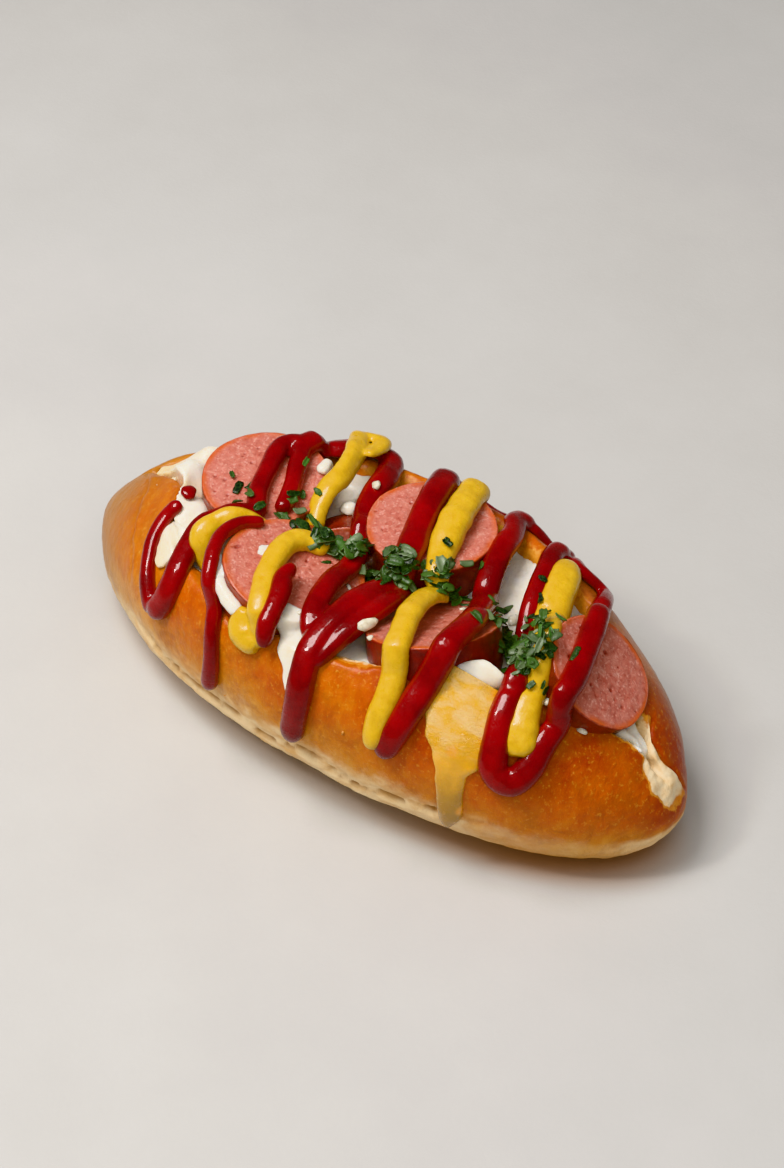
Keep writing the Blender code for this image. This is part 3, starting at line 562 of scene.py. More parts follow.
def crust_relief(place, crease):
    """How far the crust stands out at a place: broad lumps, fine wrinkles and the crease at its foot."""
    x, y, z = place
    height, wrinkle, middle = crease
    foot = ease(z / (12 * MM))
    out = wander(place, LUMP_SIZE) * CRUST_LUMP * foot
    out += relief(place, 6, 0.16, 3.1) * foot
    out += relief(place, 1.9, 0.09, 5.7)
    out -= CREASE_DEPTH * middle * wrinkle * hill(z - height, 1.1 * MM)
    out += CREASE_SHELF * middle * ease((height - z) / (0.8 * MM)) * ease((z - height + 9 * MM) / (8 * MM))
    upper = height + 3.6 * MM + relief((x, 1, 0), 7, 1.6, 6.0)
    out -= 0.3 * MM * middle * max(0, 1.2 - wrinkle) * hill(z - upper, 0.6 * MM)
    low = ease((20 * MM - z) / (6 * MM)) * ease(z / MM)
    out += relief((x * 0.7, y, z * 2.0), 2.8, 0.20, 4.0) * low
    lean = lean_at(y, z)
    if x < FOLD_RIGHT * MM and lean < FOLD_END:
        apart = x / MM - along(FOLD, lean) - wander(place, 5, 2.5)
        side = ease((FOLD_END - lean) / 12) * ease((lean + 85) / 15)
        out += side * MM * (0.45 * hill(apart - 1.6, 1.6) - 0.4 * hill(apart, 0.7))
    return out


def torn_end(place):
    """How bare the torn right end is at a place, and how deep the line is that closes the split."""
    x, y, z = place
    if x < TORN_START * MM or z < TORN_FOOT:
        return 0.0, 0.0
    ragged = wander(place, 3.5, 7.0) * 0.6 + wander(place, 1.4, 3.0) * 0.25
    inside = y / MM - along(TORN_NEAR, x / MM) + ragged
    before = along(TORN_FAR, x / MM) - y / MM + ragged * 0.4
    up = ease((z - TORN_FOOT) / (5 * MM)) * ease((x / MM - TORN_START) / 4)
    return up * ease(inside / 1.8) * ease(before / 1.2), up * hill(before, 0.6)


def crumb_relief(place):
    pores = abs(wander(place, 1.5, 1.0)) + 0.5 * abs(wander(place, 0.7, 2.0))
    return (0.35 - pores) * 0.8 * MM + relief(place, 5, 0.5, 8.0)


def make_roll():
    turns = [math.pi * (i + 1) / (ROLL_SECTIONS + 1) for i in range(ROLL_SECTIONS)]
    loops = []
    bare = []
    for turn in turns:
        u = -math.cos(turn)
        section = roll_loop(u)
        loops.append([Vector((u * ROLL_LENGTH / 2, y, z)) for y, z, _ in section])
        bare += [value for _, _, value in section]
    tips = [(side * ROLL_LENGTH / 2, 0, TIP_HEIGHT) for side in (-1, 1)]
    obj = add_object("bread_roll", *loft(loops, *tips))
    set_attribute(obj, "bare", bare + [0, 0])
    smooth = obj.modifiers.new("smooth", "SUBSURF")
    smooth.levels = smooth.render_levels = 2
    apply_modifiers(obj)
    values = np.empty(len(obj.data.vertices))
    obj.data.attributes["bare"].data.foreach_get("value", values)
    moves = []
    below = []
    crease_shades = []
    for i, vert in enumerate(obj.data.vertices):
        torn, line = torn_end(vert.co)
        height, wrinkle, middle = crease = crease_at(vert.co)
        out = crust_relief(vert.co, crease)
        below.append(middle * ease((height - vert.co.z) / (0.8 * MM) + 0.5))
        # how much painted shade the crease line gets here
        crease_shades.append(middle * min(1, wrinkle) * hill(vert.co.z - height, 1.0 * MM))
        if values[i] > 0.02:
            out = mix(out, crumb_relief(vert.co), ease(values[i] * 1.4))
        if torn > 0.02:
            dough = relief(vert.co, 5, 0.9, 4.4) + relief(vert.co, 1.8, 0.22, 6.1)
            out = mix(out, dough - TORN_DEPTH, torn)
        values[i] = max(values[i], torn)
        moves.append(vert.co + vert.normal * (out - line * 0.8 * MM))
    move_points(obj, moves)
    rises = [rise_share(place) for place in moves]
    for name, shares in (("bare", values), ("rise", rises), ("below", below), ("crease_shade", crease_shades)):
        set_attribute(obj, name, shares)
    return obj


def rise_share(place):
    """How high a place lies between the underside and the crown of its section."""
    u = clamp(place.x / (ROLL_LENGTH / 2), -0.98, 0.98)
    low = underside(u)
    return clamp((place.z - low) / (crown(u) - low))


# Sausage slices


def slice_rings(radius, thick):
    """The rings from the middle of the cut face over its edge to the back, as (radius, height, skin)."""
    edge = SLICE_ROUNDING * 0.62
    rings = [((radius - edge) * (k / FACE_RINGS) ** 0.85, mix(0.3, 0.1, k / FACE_RINGS) * MM, 0.0)
             for k in range(1, FACE_RINGS + 1)]
    for k in range(1, EDGE_RINGS + 1):
        turn = math.pi / 2 * k / EDGE_RINGS
        bead = 0.12 * MM * math.sin(2 * turn)
        ring_radius = radius - edge + (edge + bead) * math.sin(turn)
        rings.append((ring_radius, 0.1 * MM - edge * (1 - math.cos(turn)) + bead, k / EDGE_RINGS))
    rings += [(radius, mix(-edge, edge - thick, k / SKIN_RINGS), 1.0) for k in range(1, SKIN_RINGS + 1)]
    return rings + [(radius - SLICE_ROUNDING, -thick, 1.0), (radius * 0.5, -thick, 0.0)]


def slice_pits(radius, rng):
    """Small pits scattered over a cut face, as rows of x, y, size and depth."""
    pits = []
    for _ in range(PITS):
        turn = rng.uniform(0, math.tau)
        far = radius * 0.93 * math.sqrt(rng.random())
        size = mix(*PIT_RADIUS, rng.random() ** 3) * MM
        pits.append((math.cos(turn) * far, math.sin(turn) * far, size, size * rng.uniform(0.5, 1.0)))
    return np.array(pits)


def make_slice(index, row, rng):
    """A cut disc with a skin, a little out of round, with pits in its cut face."""
    radius = row["across"] / 2 * MM
    thick = row["thick"] * MM
    seed = row["at"][0]
    pits = slice_pits(radius, rng)
    loops = []
    skins = []
    dents = []
    rims = []
    for ring_radius, height, skin in slice_rings(radius, thick):
        rims += [ease((ring_radius / radius - 0.86) / 0.1)] * SLICE_SIDES
        loop = []
        for i in range(SLICE_SIDES):
            turn = math.tau * i / SLICE_SIDES
            wobble = 1 + 0.02 * math.sin(2 * turn + seed) + 0.008 * math.sin(5 * turn)
            wobble += 0.006 * noise.noise(Vector((math.cos(turn) * 3, math.sin(turn) * 3, seed)))
            x = math.cos(turn) * ring_radius * wobble
            y = math.sin(turn) * ring_radius * wobble
            z = height
            dent = 0.0
            if skin < 0.5 and height > -thick / 2:
                apart = np.hypot(pits[:, 0] - x, pits[:, 1] - y) / pits[:, 2]
                depth = float((pits[:, 3] * np.exp(-apart ** 2 * 1.6)).max())
                dent = min(1.0, depth / (0.35 * MM))
                rough = wander((x, y, 0), 2.6, seed) * 0.14 + wander((x, y, 0), 0.9, seed + 4) * 0.07
                z += rough * MM + relief((x, y, 0), 9, 0.3, seed + 8) - depth
            elif skin >= 0.5:
                wrinkle = relief((turn * 0.006, height * 0.35, 0), 0.8, 0.10, seed)
                x += math.cos(turn) * wrinkle
                y += math.sin(turn) * wrinkle
            loop.append(Vector((x, y, z)))
            skins.append(skin)
            dents.append(dent)
        loops.append(loop)
    facing = Vector(row["faces"]).normalized().to_track_quat("Z", "Y").to_matrix().to_4x4()
    turn_into_place = Matrix.Translation(Vector(row["at"]) * MM) @ facing
    points, faces = loft(loops, start=(0, 0, 0.3 * MM), end=(0, 0, -thick))
    obj = add_object(f"sausage_{index + 1}", [turn_into_place @ Vector(point) for point in points], faces)
    for name, values in (("skin", skins), ("dent", dents), ("rim", rims)):
        set_attribute(obj, name, values + [0, 0])
    set_attribute(obj, "wet", [row["wet"]] * len(points))
    return obj


# Creamy filling


def filling_height(u, across):
    """Height of the filling, between 0 at the near wall and 1 at the far wall."""
    near_z = flank(u, lip_share(u, -1), -1)[1]
    far_z = flank(u, lip_share(u, 1), 1)[1]
    left = ease((-0.62 - u) / 0.08)
    edge = mix(near_z, far_z, across) - 2 * MM * (1 - left)
    place = Vector((u * 6, across * 3, 0))
    dip = FILLING_DIP * (1 - 1.2 * ease((u - 0.66) / 0.1) - left)
    return edge - dip * math.sin(math.pi * across) + 1.5 * MM * noise.noise(place)


def mound_height(x, y):
    rise = 0.0
    for middle_x, middle_y, high, radius in MOUNDS:
        rise = max(rise, high * hill(math.hypot(x / MM - middle_x, y / MM - middle_y), radius))
    return rise * MM


def filling_loop(u):
    x = u * ROLL_LENGTH / 2
    near_y = flank(u, lip_share(u, -1), -1)[0] + WALL - FILLING_OVERSIZE
    far_y = flank(u, lip_share(u, 1), 1)[0] - WALL + FILLING_OVERSIZE
    if far_y - near_y < 4 * MM:
        near_y = slot_middle(u) - 2 * MM
        far_y = slot_middle(u) + 2 * MM
    loop = []
    for i in range(FILLING_ACROSS + 1):
        across = i / FILLING_ACROSS
        y = mix(near_y, far_y, across)
        lumps = relief((x, y, 0), 7, 0.9, 3) + relief((x, y, 0), 2.6, 0.35, 6)
        loop.append(Vector((x, y, filling_height(u, across) + mound_height(x, y) + lumps)))
    low = min(point.z for point in loop) - 4 * MM
    for across in (0.9, 0.65, 0.35, 0.1):
        depth = mix(SLOT_FLOOR - 1 * MM, low, abs(across - 0.5) * 0.8)
        loop.append(Vector((x, mix(near_y, far_y, across), min(low, depth))))
    return loop


def make_filling(surface):
    places = [mix(FILLING_START, FILLING_END, i / (FILLING_SECTIONS - 1)) for i in range(FILLING_SECTIONS)]
    shapes = [loft([filling_loop(u) for u in places])]
    top = Surface([])
    top.trees = list(surface.trees)
    top.add_shape(*shapes[0])
    for row in CREAM_STRANDS:
        shapes.append(strand(top, row, CREAM_LUMP, row["path"][0][0]))
    obj = add_object("creamy_filling", *joined(shapes))
    return remeshed(obj, FILLING_VOXEL, 4)


# Places on the outside


class Surface:
    """The top of everything laid so far, found by looking in toward the roll's long axis."""

    def __init__(self, bodies):
        self.trees = []
        for obj in bodies:
            self.add(obj)

    def add(self, obj):
        points = [vert.co.copy() for vert in obj.data.vertices]
        self.add_shape(points, [tuple(face.vertices) for face in obj.data.polygons])

    def add_shape(self, points, faces):
        self.trees.append(BVHTree.FromPolygons(points, faces))

    def reach(self, x, lean):
        """Distance from the axis to the top, and the way that the top faces."""
        out = outward(lean)
        far = on_axis(x) + out * REACH
        best = (10 * MM, out)
        for tree in self.trees:
            spot, normal, _, distance = tree.ray_cast(far, -out)
            if spot is not None and REACH - distance > best[0]:
                best = (REACH - distance, normal)
        return best

    def spot(self, x, lean, lift):
        """A point above the top and the way it faces, at x in mm, a lean in degrees and a lift in mm."""
        reach, normal = self.reach(x * MM, lean)
        return on_axis(x * MM) + outward(lean) * (reach + lift * MM), normal


def outward(lean):
    turn = math.radians(lean)
    return Vector((0, math.sin(turn), math.cos(turn)))


def lean_at(y, z):
    return math.degrees(math.atan2(y, z - AXIS_HEIGHT))


def on_axis(x):
    return Vector((x, 0, AXIS_HEIGHT))


# Sauces


def evened(rows):
    """Each row with a share of the rows on either side."""
    padded = np.concatenate([rows[:1], rows, rows[-1:]])
    return (padded[:-2] + 2 * padded[1:-1] + padded[2:]) / 4


def sagging(reaches, spacing, evening=EVENING):
    """A strand follows the top but spans the gaps: it drops no faster than its slope, then evens out."""
    reaches = np.array(reaches)
    apart = np.abs(np.subtract.outer(np.arange(len(reaches)), np.arange(len(reaches))))
    spans = (reaches[None, :] - STRAND_DROP * apart * spacing).max(axis=1)
    for _ in range(evening):
        spans = np.maximum(spans, evened(spans))
    return spans


def even(vectors, passes):
    """Vectors along a run with their wobble smoothed away."""
    rows = np.array([tuple(vector) for vector in vectors])
    for _ in range(passes):
        rows = evened(rows)
    return [Vector(row) for row in rows]


def strand(surface, row, lump, seed):
    """A strand of sauce laid over the top: a dome that is a little sunk into what it lies on."""
    steps = spline(row["path"], STRAND_STEP)
    hits = [surface.reach(x * MM, lean) for x, lean in steps]
    spans = sagging([hit[0] for hit in hits], STRAND_STEP * MM)
    centres = [on_axis(x * MM) + outward(lean) * span for (x, lean), span in zip(steps, spans)]
    ups = even([hit[1] + outward(lean) for hit, (_, lean) in zip(hits, steps)], 10)
    last = len(steps) - 1
    loops = []
    for i, centre in enumerate(centres):
        share = i / last
        ahead = (centres[min(i + 2, last)] - centres[max(i - 2, 0)]).normalized()
        up = (ups[i] - ahead * ups[i].dot(ahead)).normalized()
        across = ahead.cross(up)
        swell = 1 + lump * wander(centre, 5, seed) + lump * 0.5 * wander(centre, 2.2, seed + 3)
        width = profile(row["width"], share) * MM / 2 * swell
        high = profile(row["high"], share) * MM * swell
        from_end = min(i, last - i) * STRAND_STEP * MM
        tuck = math.sqrt(clamp(1 - (1 - clamp((from_end + 0.15 * width) / (1.15 * width))) ** 2))
        base = centre + up * (0.05 * MM)
        loop = []
        for k in range(STRAND_SIDES):
            turn = math.tau * k / STRAND_SIDES
            over = math.copysign(abs(math.cos(turn)) ** 0.8, math.cos(turn)) * width * tuck
            rise = math.sin(turn)
            rise = rise ** 0.85 * high * (0.35 + 0.65 * tuck) if rise > 0 else rise * STRAND_SINK
            loop.append(base + across * over + up * (rise + 0.12 * high))
        loops.append(loop)
    return loft(loops)


def pool(surface, row, seed):
    """A thin pool that runs down the crust, from rows of (lean, left x, right x)."""
    leans = [edge[0] for edge in row["rows"]]
    lefts = [(-lean, edge[1]) for lean, edge in zip(leans, row["rows"])]
    rights = [(-lean, edge[2]) for lean, edge in zip(leans, row["rows"])]
    places = []
    for i in range(POOL_ROWS):
        lean = mix(leans[0], leans[-1], i / (POOL_ROWS - 1))
        left, right = (along(edge, -lean) * MM for edge in (lefts, rights))
        near_tip = 1 - ease((i - POOL_ROWS * 0.86) / (POOL_ROWS * 0.14)) ** 2 * 0.72
        middle = (left + right) / 2
        left = mix(middle, left, near_tip) + relief((0, lean * 0.4 * MM, 0), 3, 0.5, seed)
        right = mix(middle, right, near_tip) + relief((0, lean * 0.4 * MM, 0), 3, 0.5, seed + 5)
        places.append([(mix(left, right, k / POOL_ACROSS), lean) for k in range(POOL_ACROSS + 1)])
    reaches = np.array([[surface.reach(x, lean)[0] for x, lean in line] for line in places])
    for _ in range(2):
        reaches = np.array([sagging(line, 0.8 * MM, 6) for line in reaches]).T
    loops = []
    for i, (line, spans) in enumerate(zip(places, reaches)):
        tops = []
        unders = []
        end = min(1.0, (POOL_ROWS - 1 - i) / 5)
        bead = 1 + 0.35 * ease((i - POOL_ROWS * 0.7) / (POOL_ROWS * 0.2))
        for k, ((x, lean), reach) in enumerate(zip(line, spans)):
            rim = max(0.0, 1 - abs(2 * k / POOL_ACROSS - 1) ** 3) ** 0.5 * (0.3 + 0.7 * end ** 0.5)
            ripple = 1 + 0.22 * wander((x, lean * 0.4 * MM, 0), 3.5, seed + 9)
            out = outward(lean)
            unders.append(on_axis(x) + out * (reach - STRAND_SINK))
            tops.append(on_axis(x) + out * (reach + 0.1 * MM + row["thick"] * MM * rim * bead * ripple))
        loops.append(tops + unders[::-1])
    return loft(loops)


def dab(surface, x, lean, radius, high, seed):
    """A small flat blob at x in mm and a lean in degrees, with an uneven outline."""
    rings = 5
    sides = 20
    loops = []
    for ring in range(rings, 0, -1):
        loop = []
        for k in range(sides):
            turn = math.tau * k / sides
            outline = 1 + 0.7 * noise.noise(Vector((math.cos(turn) * 1.4, math.sin(turn) * 1.4, seed * 3)))
            far = radius * ring / rings * outline
            rise = high * math.sqrt(1 - (ring / rings) ** 2) - DAB_SINK
            place = (x + math.cos(turn) * far, lean + math.sin(turn) * far / LEAN_MM)
            loop.append(surface.spot(*place, rise)[0])
        loops.append(loop)
    foot = [point - outward(lean) * 0.8 * MM for point in loops[0]]
    return loft([foot] + loops, end=surface.spot(x, lean, high - DAB_SINK)[0])


def make_sauce(name, surface, rows, seed, lump):
    shapes = [strand(surface, row, lump, seed + i) for i, row in enumerate(rows)]
    obj = remeshed(add_object(name, *joined(shapes)), SAUCE_VOXEL, 6)
    set_attribute(obj, "thin", [thinness(surface, vert.co) for vert in obj.data.vertices])
    return obj


def thinness(surface, place):
    """From 1 where the sauce thins out at its edge to 0 where it is deep."""
    lean = lean_at(place.y, place.z)
    deep = math.hypot(place.y, place.z - AXIS_HEIGHT) - surface.reach(place.x, lean)[0]
    return ease(1 - deep / THIN_EDGE)


# Chopped leaves, onion and crumbs


def spun(facing, rng):
    """A turn that faces this way, spun round it at random."""
    return facing.to_track_quat("Z", "Y").to_matrix() @ Matrix.Rotation(rng.uniform(0, math.tau), 3, "Z")


def leaf_shape(place, facing, length, rng):
    """A chopped piece of leaf: thin, curled and folded, with a ragged outline. Also each point's side."""
    width = length * rng.uniform(0.34, 0.72)
    curl = rng.uniform(-1.1, 1.1) / length
    fold = rng.uniform(-0.5, 0.7)
    seed = rng.uniform(0, 50)
    start = rng.uniform(0.0, 0.35)
    end = rng.uniform(0.7, 1.0)
    rows = LEAF_ROWS
    matrix = spun(facing, rng)
    layers = []
    for face in (1, -1):
        grid = []
        for i in range(rows + 1):
            share = mix(start, end, i / rows)
            bulge = math.sin(math.pi * clamp(share, 0.04, 0.96)) ** 0.7
            tooth = 1 + 0.22 * noise.noise(Vector((i * 1.3, seed, 0)))
            s = (i / rows - 0.5) * length
            for side in LEAF_SIDES:
                ragged = 1 + 0.25 * noise.noise(Vector((i * 1.7, side * 2, seed)))
                y = side * width / 2 * bulge * tooth * (ragged if abs(side) == 1 else 1)
                angle = s * curl
                bent = math.sin(angle) / curl if abs(curl) > 1e-3 else s
                z = (1 - math.cos(angle)) / curl if abs(curl) > 1e-3 else 0
                z += abs(y) * fold + 0.12 * noise.noise(Vector((s, y, seed)))
                grid.append(place + matrix @ Vector((bent, y, z + face * LEAF_THICKNESS / 2)) * MM)
        layers.append(grid)
    across = len(LEAF_SIDES)
    count = len(layers[0])
    faces = []
    for i in range(rows):
        for j in range(across - 1):
            a = i * across + j
            quad = (a, a + 1, a + across + 1, a + across)
            faces.append(quad)
            faces.append(tuple(count + k for k in quad[::-1]))
    rim = list(range(across)) + [i * across + across - 1 for i in range(1, rows + 1)]
    rim += [rows * across + j for j in range(across - 2, -1, -1)]
    rim += [i * across for i in range(rows - 1, 0, -1)]
    for a, b in zip(rim, rim[1:] + rim[:1]):
        faces.append((b, a, count + a, count + b))
    under = [0.0] * count + [1.0] * count
    return layers[0] + layers[1], faces, under


def tilted(normal, rng, amount):
    """A direction near the normal, tipped by up to an amount in degrees."""
    tip = Vector((rng.uniform(-1, 1), rng.uniform(-1, 1), rng.uniform(-1, 1)))
    return (normal.normalized() + tip * math.tan(math.radians(amount)) * 0.7).normalized()


def leaf_piece(name, leaves):
    """One piece from (place, facing, length) leaves, each with a tint, and some with their pale side up."""
    rng = random.Random(SEED + len(leaves))
    shapes = []
    tints = []
    unders = []
    for place, facing, length in leaves:
        points, faces, under = leaf_shape(place, facing, length, rng)
        flip = rng.random() < 0.3
        shapes.append((points, faces))
        tints += [rng.random()] * len(points)
        unders += [1 - value for value in under] if flip else under
    obj = add_object(name, *joined(shapes))
    set_attribute(obj, "tint", tints)
    set_attribute(obj, "under", unders)
    return obj


def heap_leaves(surface, row, rng):
    steps = spline(row["path"], 1)
    leaves = []
    for _ in range(row["leaves"]):
        x, lean = steps[int(len(steps) * rng.random() ** 0.75)]
        spread = row["width"] / 2
        off = rng.gauss(0, 0.5)
        x += rng.gauss(0, 0.3) * spread
        lean += off * spread / LEAN_MM
        close = math.exp(-off * off * 2)
        lift = rng.uniform(0.1, row["high"]) * close
        place, normal = surface.spot(x, lean, lift)
        facing = tilted(normal + outward(lean) * 1.5, rng, 15 + 45 * rng.random() * close)
        leaves.append((place, facing, rng.uniform(*LEAF_LENGTH)))
    return leaves


def lump_shape(place, size, rng, flat):
    """A small uneven lump, about size mm across."""
    body = bmesh.new()
    bmesh.ops.create_icosphere(body, subdivisions=2, radius=size / 2)
    turn = Matrix.Rotation(rng.uniform(0, math.tau), 3, "Z")
    turn = turn @ Matrix.Rotation(rng.uniform(-0.5, 0.5), 3, "X")
    stretch = Vector((rng.uniform(1.0, 1.5), rng.uniform(0.7, 1.0), flat))
    seed = rng.uniform(0, 90)
    points = []
    for vert in body.verts:
        rough = 1 + 0.35 * noise.noise(vert.co / size * 2.2 + Vector((seed, 0, 0)))
        points.append(place + turn @ Vector([a * b for a, b in zip(vert.co * rough, stretch)]) * MM)
    faces = [tuple(vert.index for vert in face.verts) for face in body.faces]
    body.free()
    return points, faces


def flake_shape(place, normal, size, rng):
    """A thin chip of crust that lies on the top."""
    matrix = spun(tilted(normal, rng, 25), rng)
    sides = 8
    tops = []
    unders = []
    stretch = rng.uniform(0.4, 0.8)
    bow = rng.uniform(0.1, 0.3)
    for k in range(sides):
        turn = math.tau * k / sides
        far = size / 2 * rng.uniform(0.7, 1.15)
        x, y = math.cos(turn) * far, math.sin(turn) * far * stretch
        z = bow * x * x / size
        tops.append(place + matrix @ Vector((x, y, z + FLAKE_THICKNESS / 2)) * MM)
        unders.append(place + matrix @ Vector((x, y, z - FLAKE_THICKNESS / 2)) * MM)
    return loft([unders, tops])


# Materials


class Look:
    """A node material: a Principled shader, with helpers that add and link nodes."""

    def __init__(self, name, **values):
        self.material = bpy.data.materials.new(name)
        self.material.use_nodes = True
        self.tree = self.material.node_tree
        self.shader = self.tree.nodes["Principled BSDF"]
        self.place = self.node("TexCoord", "Object", {})
        for key, value in values.items():
            self.put(self.shader.inputs[key.replace("_", " ")], value)

    def node(self, kind, output, inputs, **settings):
        """Adds a node with these settings, fills or links its inputs and gives back one of its outputs."""
        made = self.tree.nodes.new("ShaderNode" + kind)
        for key, value in settings.items():
            setattr(made, key, value)
        for key, value in inputs.items():
            self.put(made.inputs[key], value)
        return made.outputs[output]

    def put(self, socket, value):
        if isinstance(value, bpy.types.NodeSocket):
            self.tree.links.new(value, socket)
        elif isinstance(value, tuple) and len(value) == 3 and socket.type == "RGBA":
            socket.default_value = (*value, 1)
        else:
            socket.default_value = value

    def stretched(self, scale):
        return self.node("VectorMath", 0, {0: self.place, 1: scale}, operation="MULTIPLY")

    def cloud(self, size, detail=3.0, rough=0.55, warp=0.0, scale=None):
        """Noise between 0 and 1 with blobs of this size in mm."""
        return self.node("TexNoise", "Fac", {
            "Vector": self.stretched(scale) if scale else self.place,
            "Scale": 1 / (size * MM), "Detail": detail, "Roughness": rough, "Distortion": warp,
        })

    def cells(self, size, feature="F1"):
        """Distance from the middle of each cell, or from its edge, with cells of this size in mm."""
        inputs = {"Vector": self.place, "Scale": 1 / (size * MM)}
        return self.node("TexVoronoi", "Distance", inputs, feature=feature)

    def value_of(self, name):
        return self.node("Attribute", "Fac", {}, attribute_name=name)

    def axis(self, index):
        return self.node("SeparateXYZ", index, {0: self.place})

    def maths(self, operation, a, b):
        return self.node("Math", 0, {0: a, 1: b}, operation=operation)

    def plus(self, a, b):
        return self.maths("ADD", a, b)

    def times(self, a, b):
        return self.maths("MULTIPLY", a, b)

    def between(self, value, low, high, start=0.0, end=1.0):
        """Goes smoothly from start to end as the value goes from low to high."""
        inputs = {"Value": value, "From Min": low, "From Max": high, "To Min": start, "To Max": end}
        return self.node("MapRange", "Result", inputs, interpolation_type="SMOOTHSTEP")

    def drift(self, start, end, *cloud, scale=None):
        """Wanders between start and end over the piece, in the blobs of a cloud."""
        return self.between(self.cloud(*cloud, scale=scale), 0.3, 0.7, start, end)

    def blend(self, share, a, b):
        return self.node("Mix", 2, {0: share, 6: a, 7: b}, data_type="RGBA")

    def paint(self, under, over, value, low, high, start=0.0, end=1.0):
        """One colour over another: its share goes from start to end as the value goes from low to high."""
        return self.blend(self.between(value, low, high, start, end), under, over)

    def ramp(self, value, stops):
        made = self.tree.nodes.new("ShaderNodeValToRGB")
        self.put(made.inputs[0], value)
        elements = made.color_ramp.elements
        for _ in range(len(stops) - 2):
            elements.new(0.5)
        for element, (place, colour) in zip(elements, stops):
            element.position = place
            element.color = (*colour, 1)
        return made.outputs[0]

    def mottle(self, first, second, *cloud, low=0.3, high=0.7, scale=None):
        """Two colours that run into each other in the blobs of a cloud."""
        return self.ramp(self.cloud(*cloud, scale=scale), ((low, first), (high, second)))

    def bump(self, height, depth, under=None):
        """Relief of this depth in mm where the height goes from 0 to 1."""
        inputs = {"Height": height, "Distance": depth * MM}
        if under:
            inputs["Normal"] = under
        return self.node("Bump", "Normal", inputs)

    def finish(self, colour, normal, rough):
        self.put(self.shader.inputs["Base Color"], colour)
        self.put(self.shader.inputs["Normal"], normal)
        self.put(self.shader.inputs["Roughness"], rough)
        return self.material


PALE_CRUST = (0.93, 0.70, 0.40)
GOLD_CRUST = (0.70, 0.35, 0.070)
AMBER_CRUST = (0.61, 0.215, 0.014)
BROWN_CRUST = (0.50, 0.098, 0.003)
DARK_CRUST = (0.32, 0.034, 0.002)
CRUMB = (0.88, 0.72, 0.48)


def crust_look():
    look = Look("crust", Coat_Weight=0.2, Coat_Roughness=0.28, Specular_IOR_Level=0.3)
    height = look.value_of("rise")
    length = look.axis(0)
    # How baked it is: browner toward the crown and the right end
    bake = look.between(height, 0.22, 0.80, 0.08, 0.68)
    bake = look.plus(bake, look.drift(-0.12, 0.12, 22, 3))
    bake = look.plus(bake, look.drift(-0.07, 0.07, 4, 5, 0.65, scale=(1.6, 0.8, 0.8)))
    bake = look.plus(bake, look.between(length, -80 * MM, 80 * MM, -0.04, 0.24))
    colour = look.ramp(bake, (
        (0.0, PALE_CRUST), (0.2, GOLD_CRUST), (0.45, AMBER_CRUST), (0.75, BROWN_CRUST), (1.0, DARK_CRUST),
    ))
    # Brown patches and gold flecks; painted shade that darkens the left tip to tan, and painted light that
    # makes the far flank at the right paler
    colour = look.paint(colour, (0.36, 0.085, 0.004), look.cloud(9, 5, 0.65, 0.8), 0.46, 0.66, 0, 0.5)
    flecks = look.cloud(1.1, 4, 0.65)
    colour = look.paint(colour, GOLD_CRUST, flecks, 0.54, 0.72, 0, 0.5)
    # painted shade: the left tip darkened to tan
    colour = look.paint(colour, (0.36, 0.165, 0.032), length, -92 * MM, -52 * MM, 0.85, 0)
    # painted light: the far flank at the right made paler
    far_flank_light = look.times(look.between(look.axis(1), 8 * MM, 30 * MM, 0, 0.4),
                      look.between(length, 30 * MM, 70 * MM))
    colour = look.blend(far_flank_light, colour, (0.60, 0.36, 0.18))
    # The pale foot, and painted shade in the crease above it
    foot = look.plus(height, look.between(look.cloud(7, 4, 0.6), 0.2, 0.8, -0.06, 0.06))
    ends = look.between(length, 35 * MM, 75 * MM, 1, 0.3)
    ends = look.times(ends, look.between(length, -88 * MM, -60 * MM, 0.3, 1))
    ends = look.plus(ends, look.between(length, 84 * MM, 94 * MM, 0, 0.5))
    pale = look.times(look.between(foot, 0.30, 0.46, 1, 0), ends)
    pale = look.maths("MAXIMUM", pale, look.between(look.value_of("below"), 0.3, 0.7, 0, 0.9))
    stain = look.mottle(PALE_CRUST, (0.74, 0.40, 0.12), 3.5, 4, 0.6, low=0.42, high=0.8, scale=(0.4, 1, 1))
    colour = look.blend(pale, colour, stain)
    # painted shade: dark brown along the crease
    colour = look.paint(colour, (0.36, 0.13, 0.02), look.value_of("crease_shade"), 0.2, 0.9, 0, 0.85)
    # The bare crumb, with toasted edges
    torn = look.plus(look.value_of("bare"), look.drift(-0.16, 0.16, 2.2, 3))
    crumb = look.mottle(CRUMB, (0.80, 0.54, 0.26), 2.4, 4, 0.6, low=0.35, high=0.75)
    toast = look.mottle((0.70, 0.33, 0.06), (0.58, 0.16, 0.012), 3, 4, 0.6)
    colour = look.paint(colour, toast, torn, 0.12, 0.35)
    colour = look.paint(colour, crumb, torn, 0.5, 0.85)
    normal = look.bump(flecks, 0.14)
    normal = look.bump(look.cloud(2.6, 6, 0.68, 0.4, scale=(1.5, 0.8, 0.8)), 0.38, normal)
    return look.finish(colour, normal, look.between(look.plus(torn, pale), 0, 1, 0.36, 0.72))


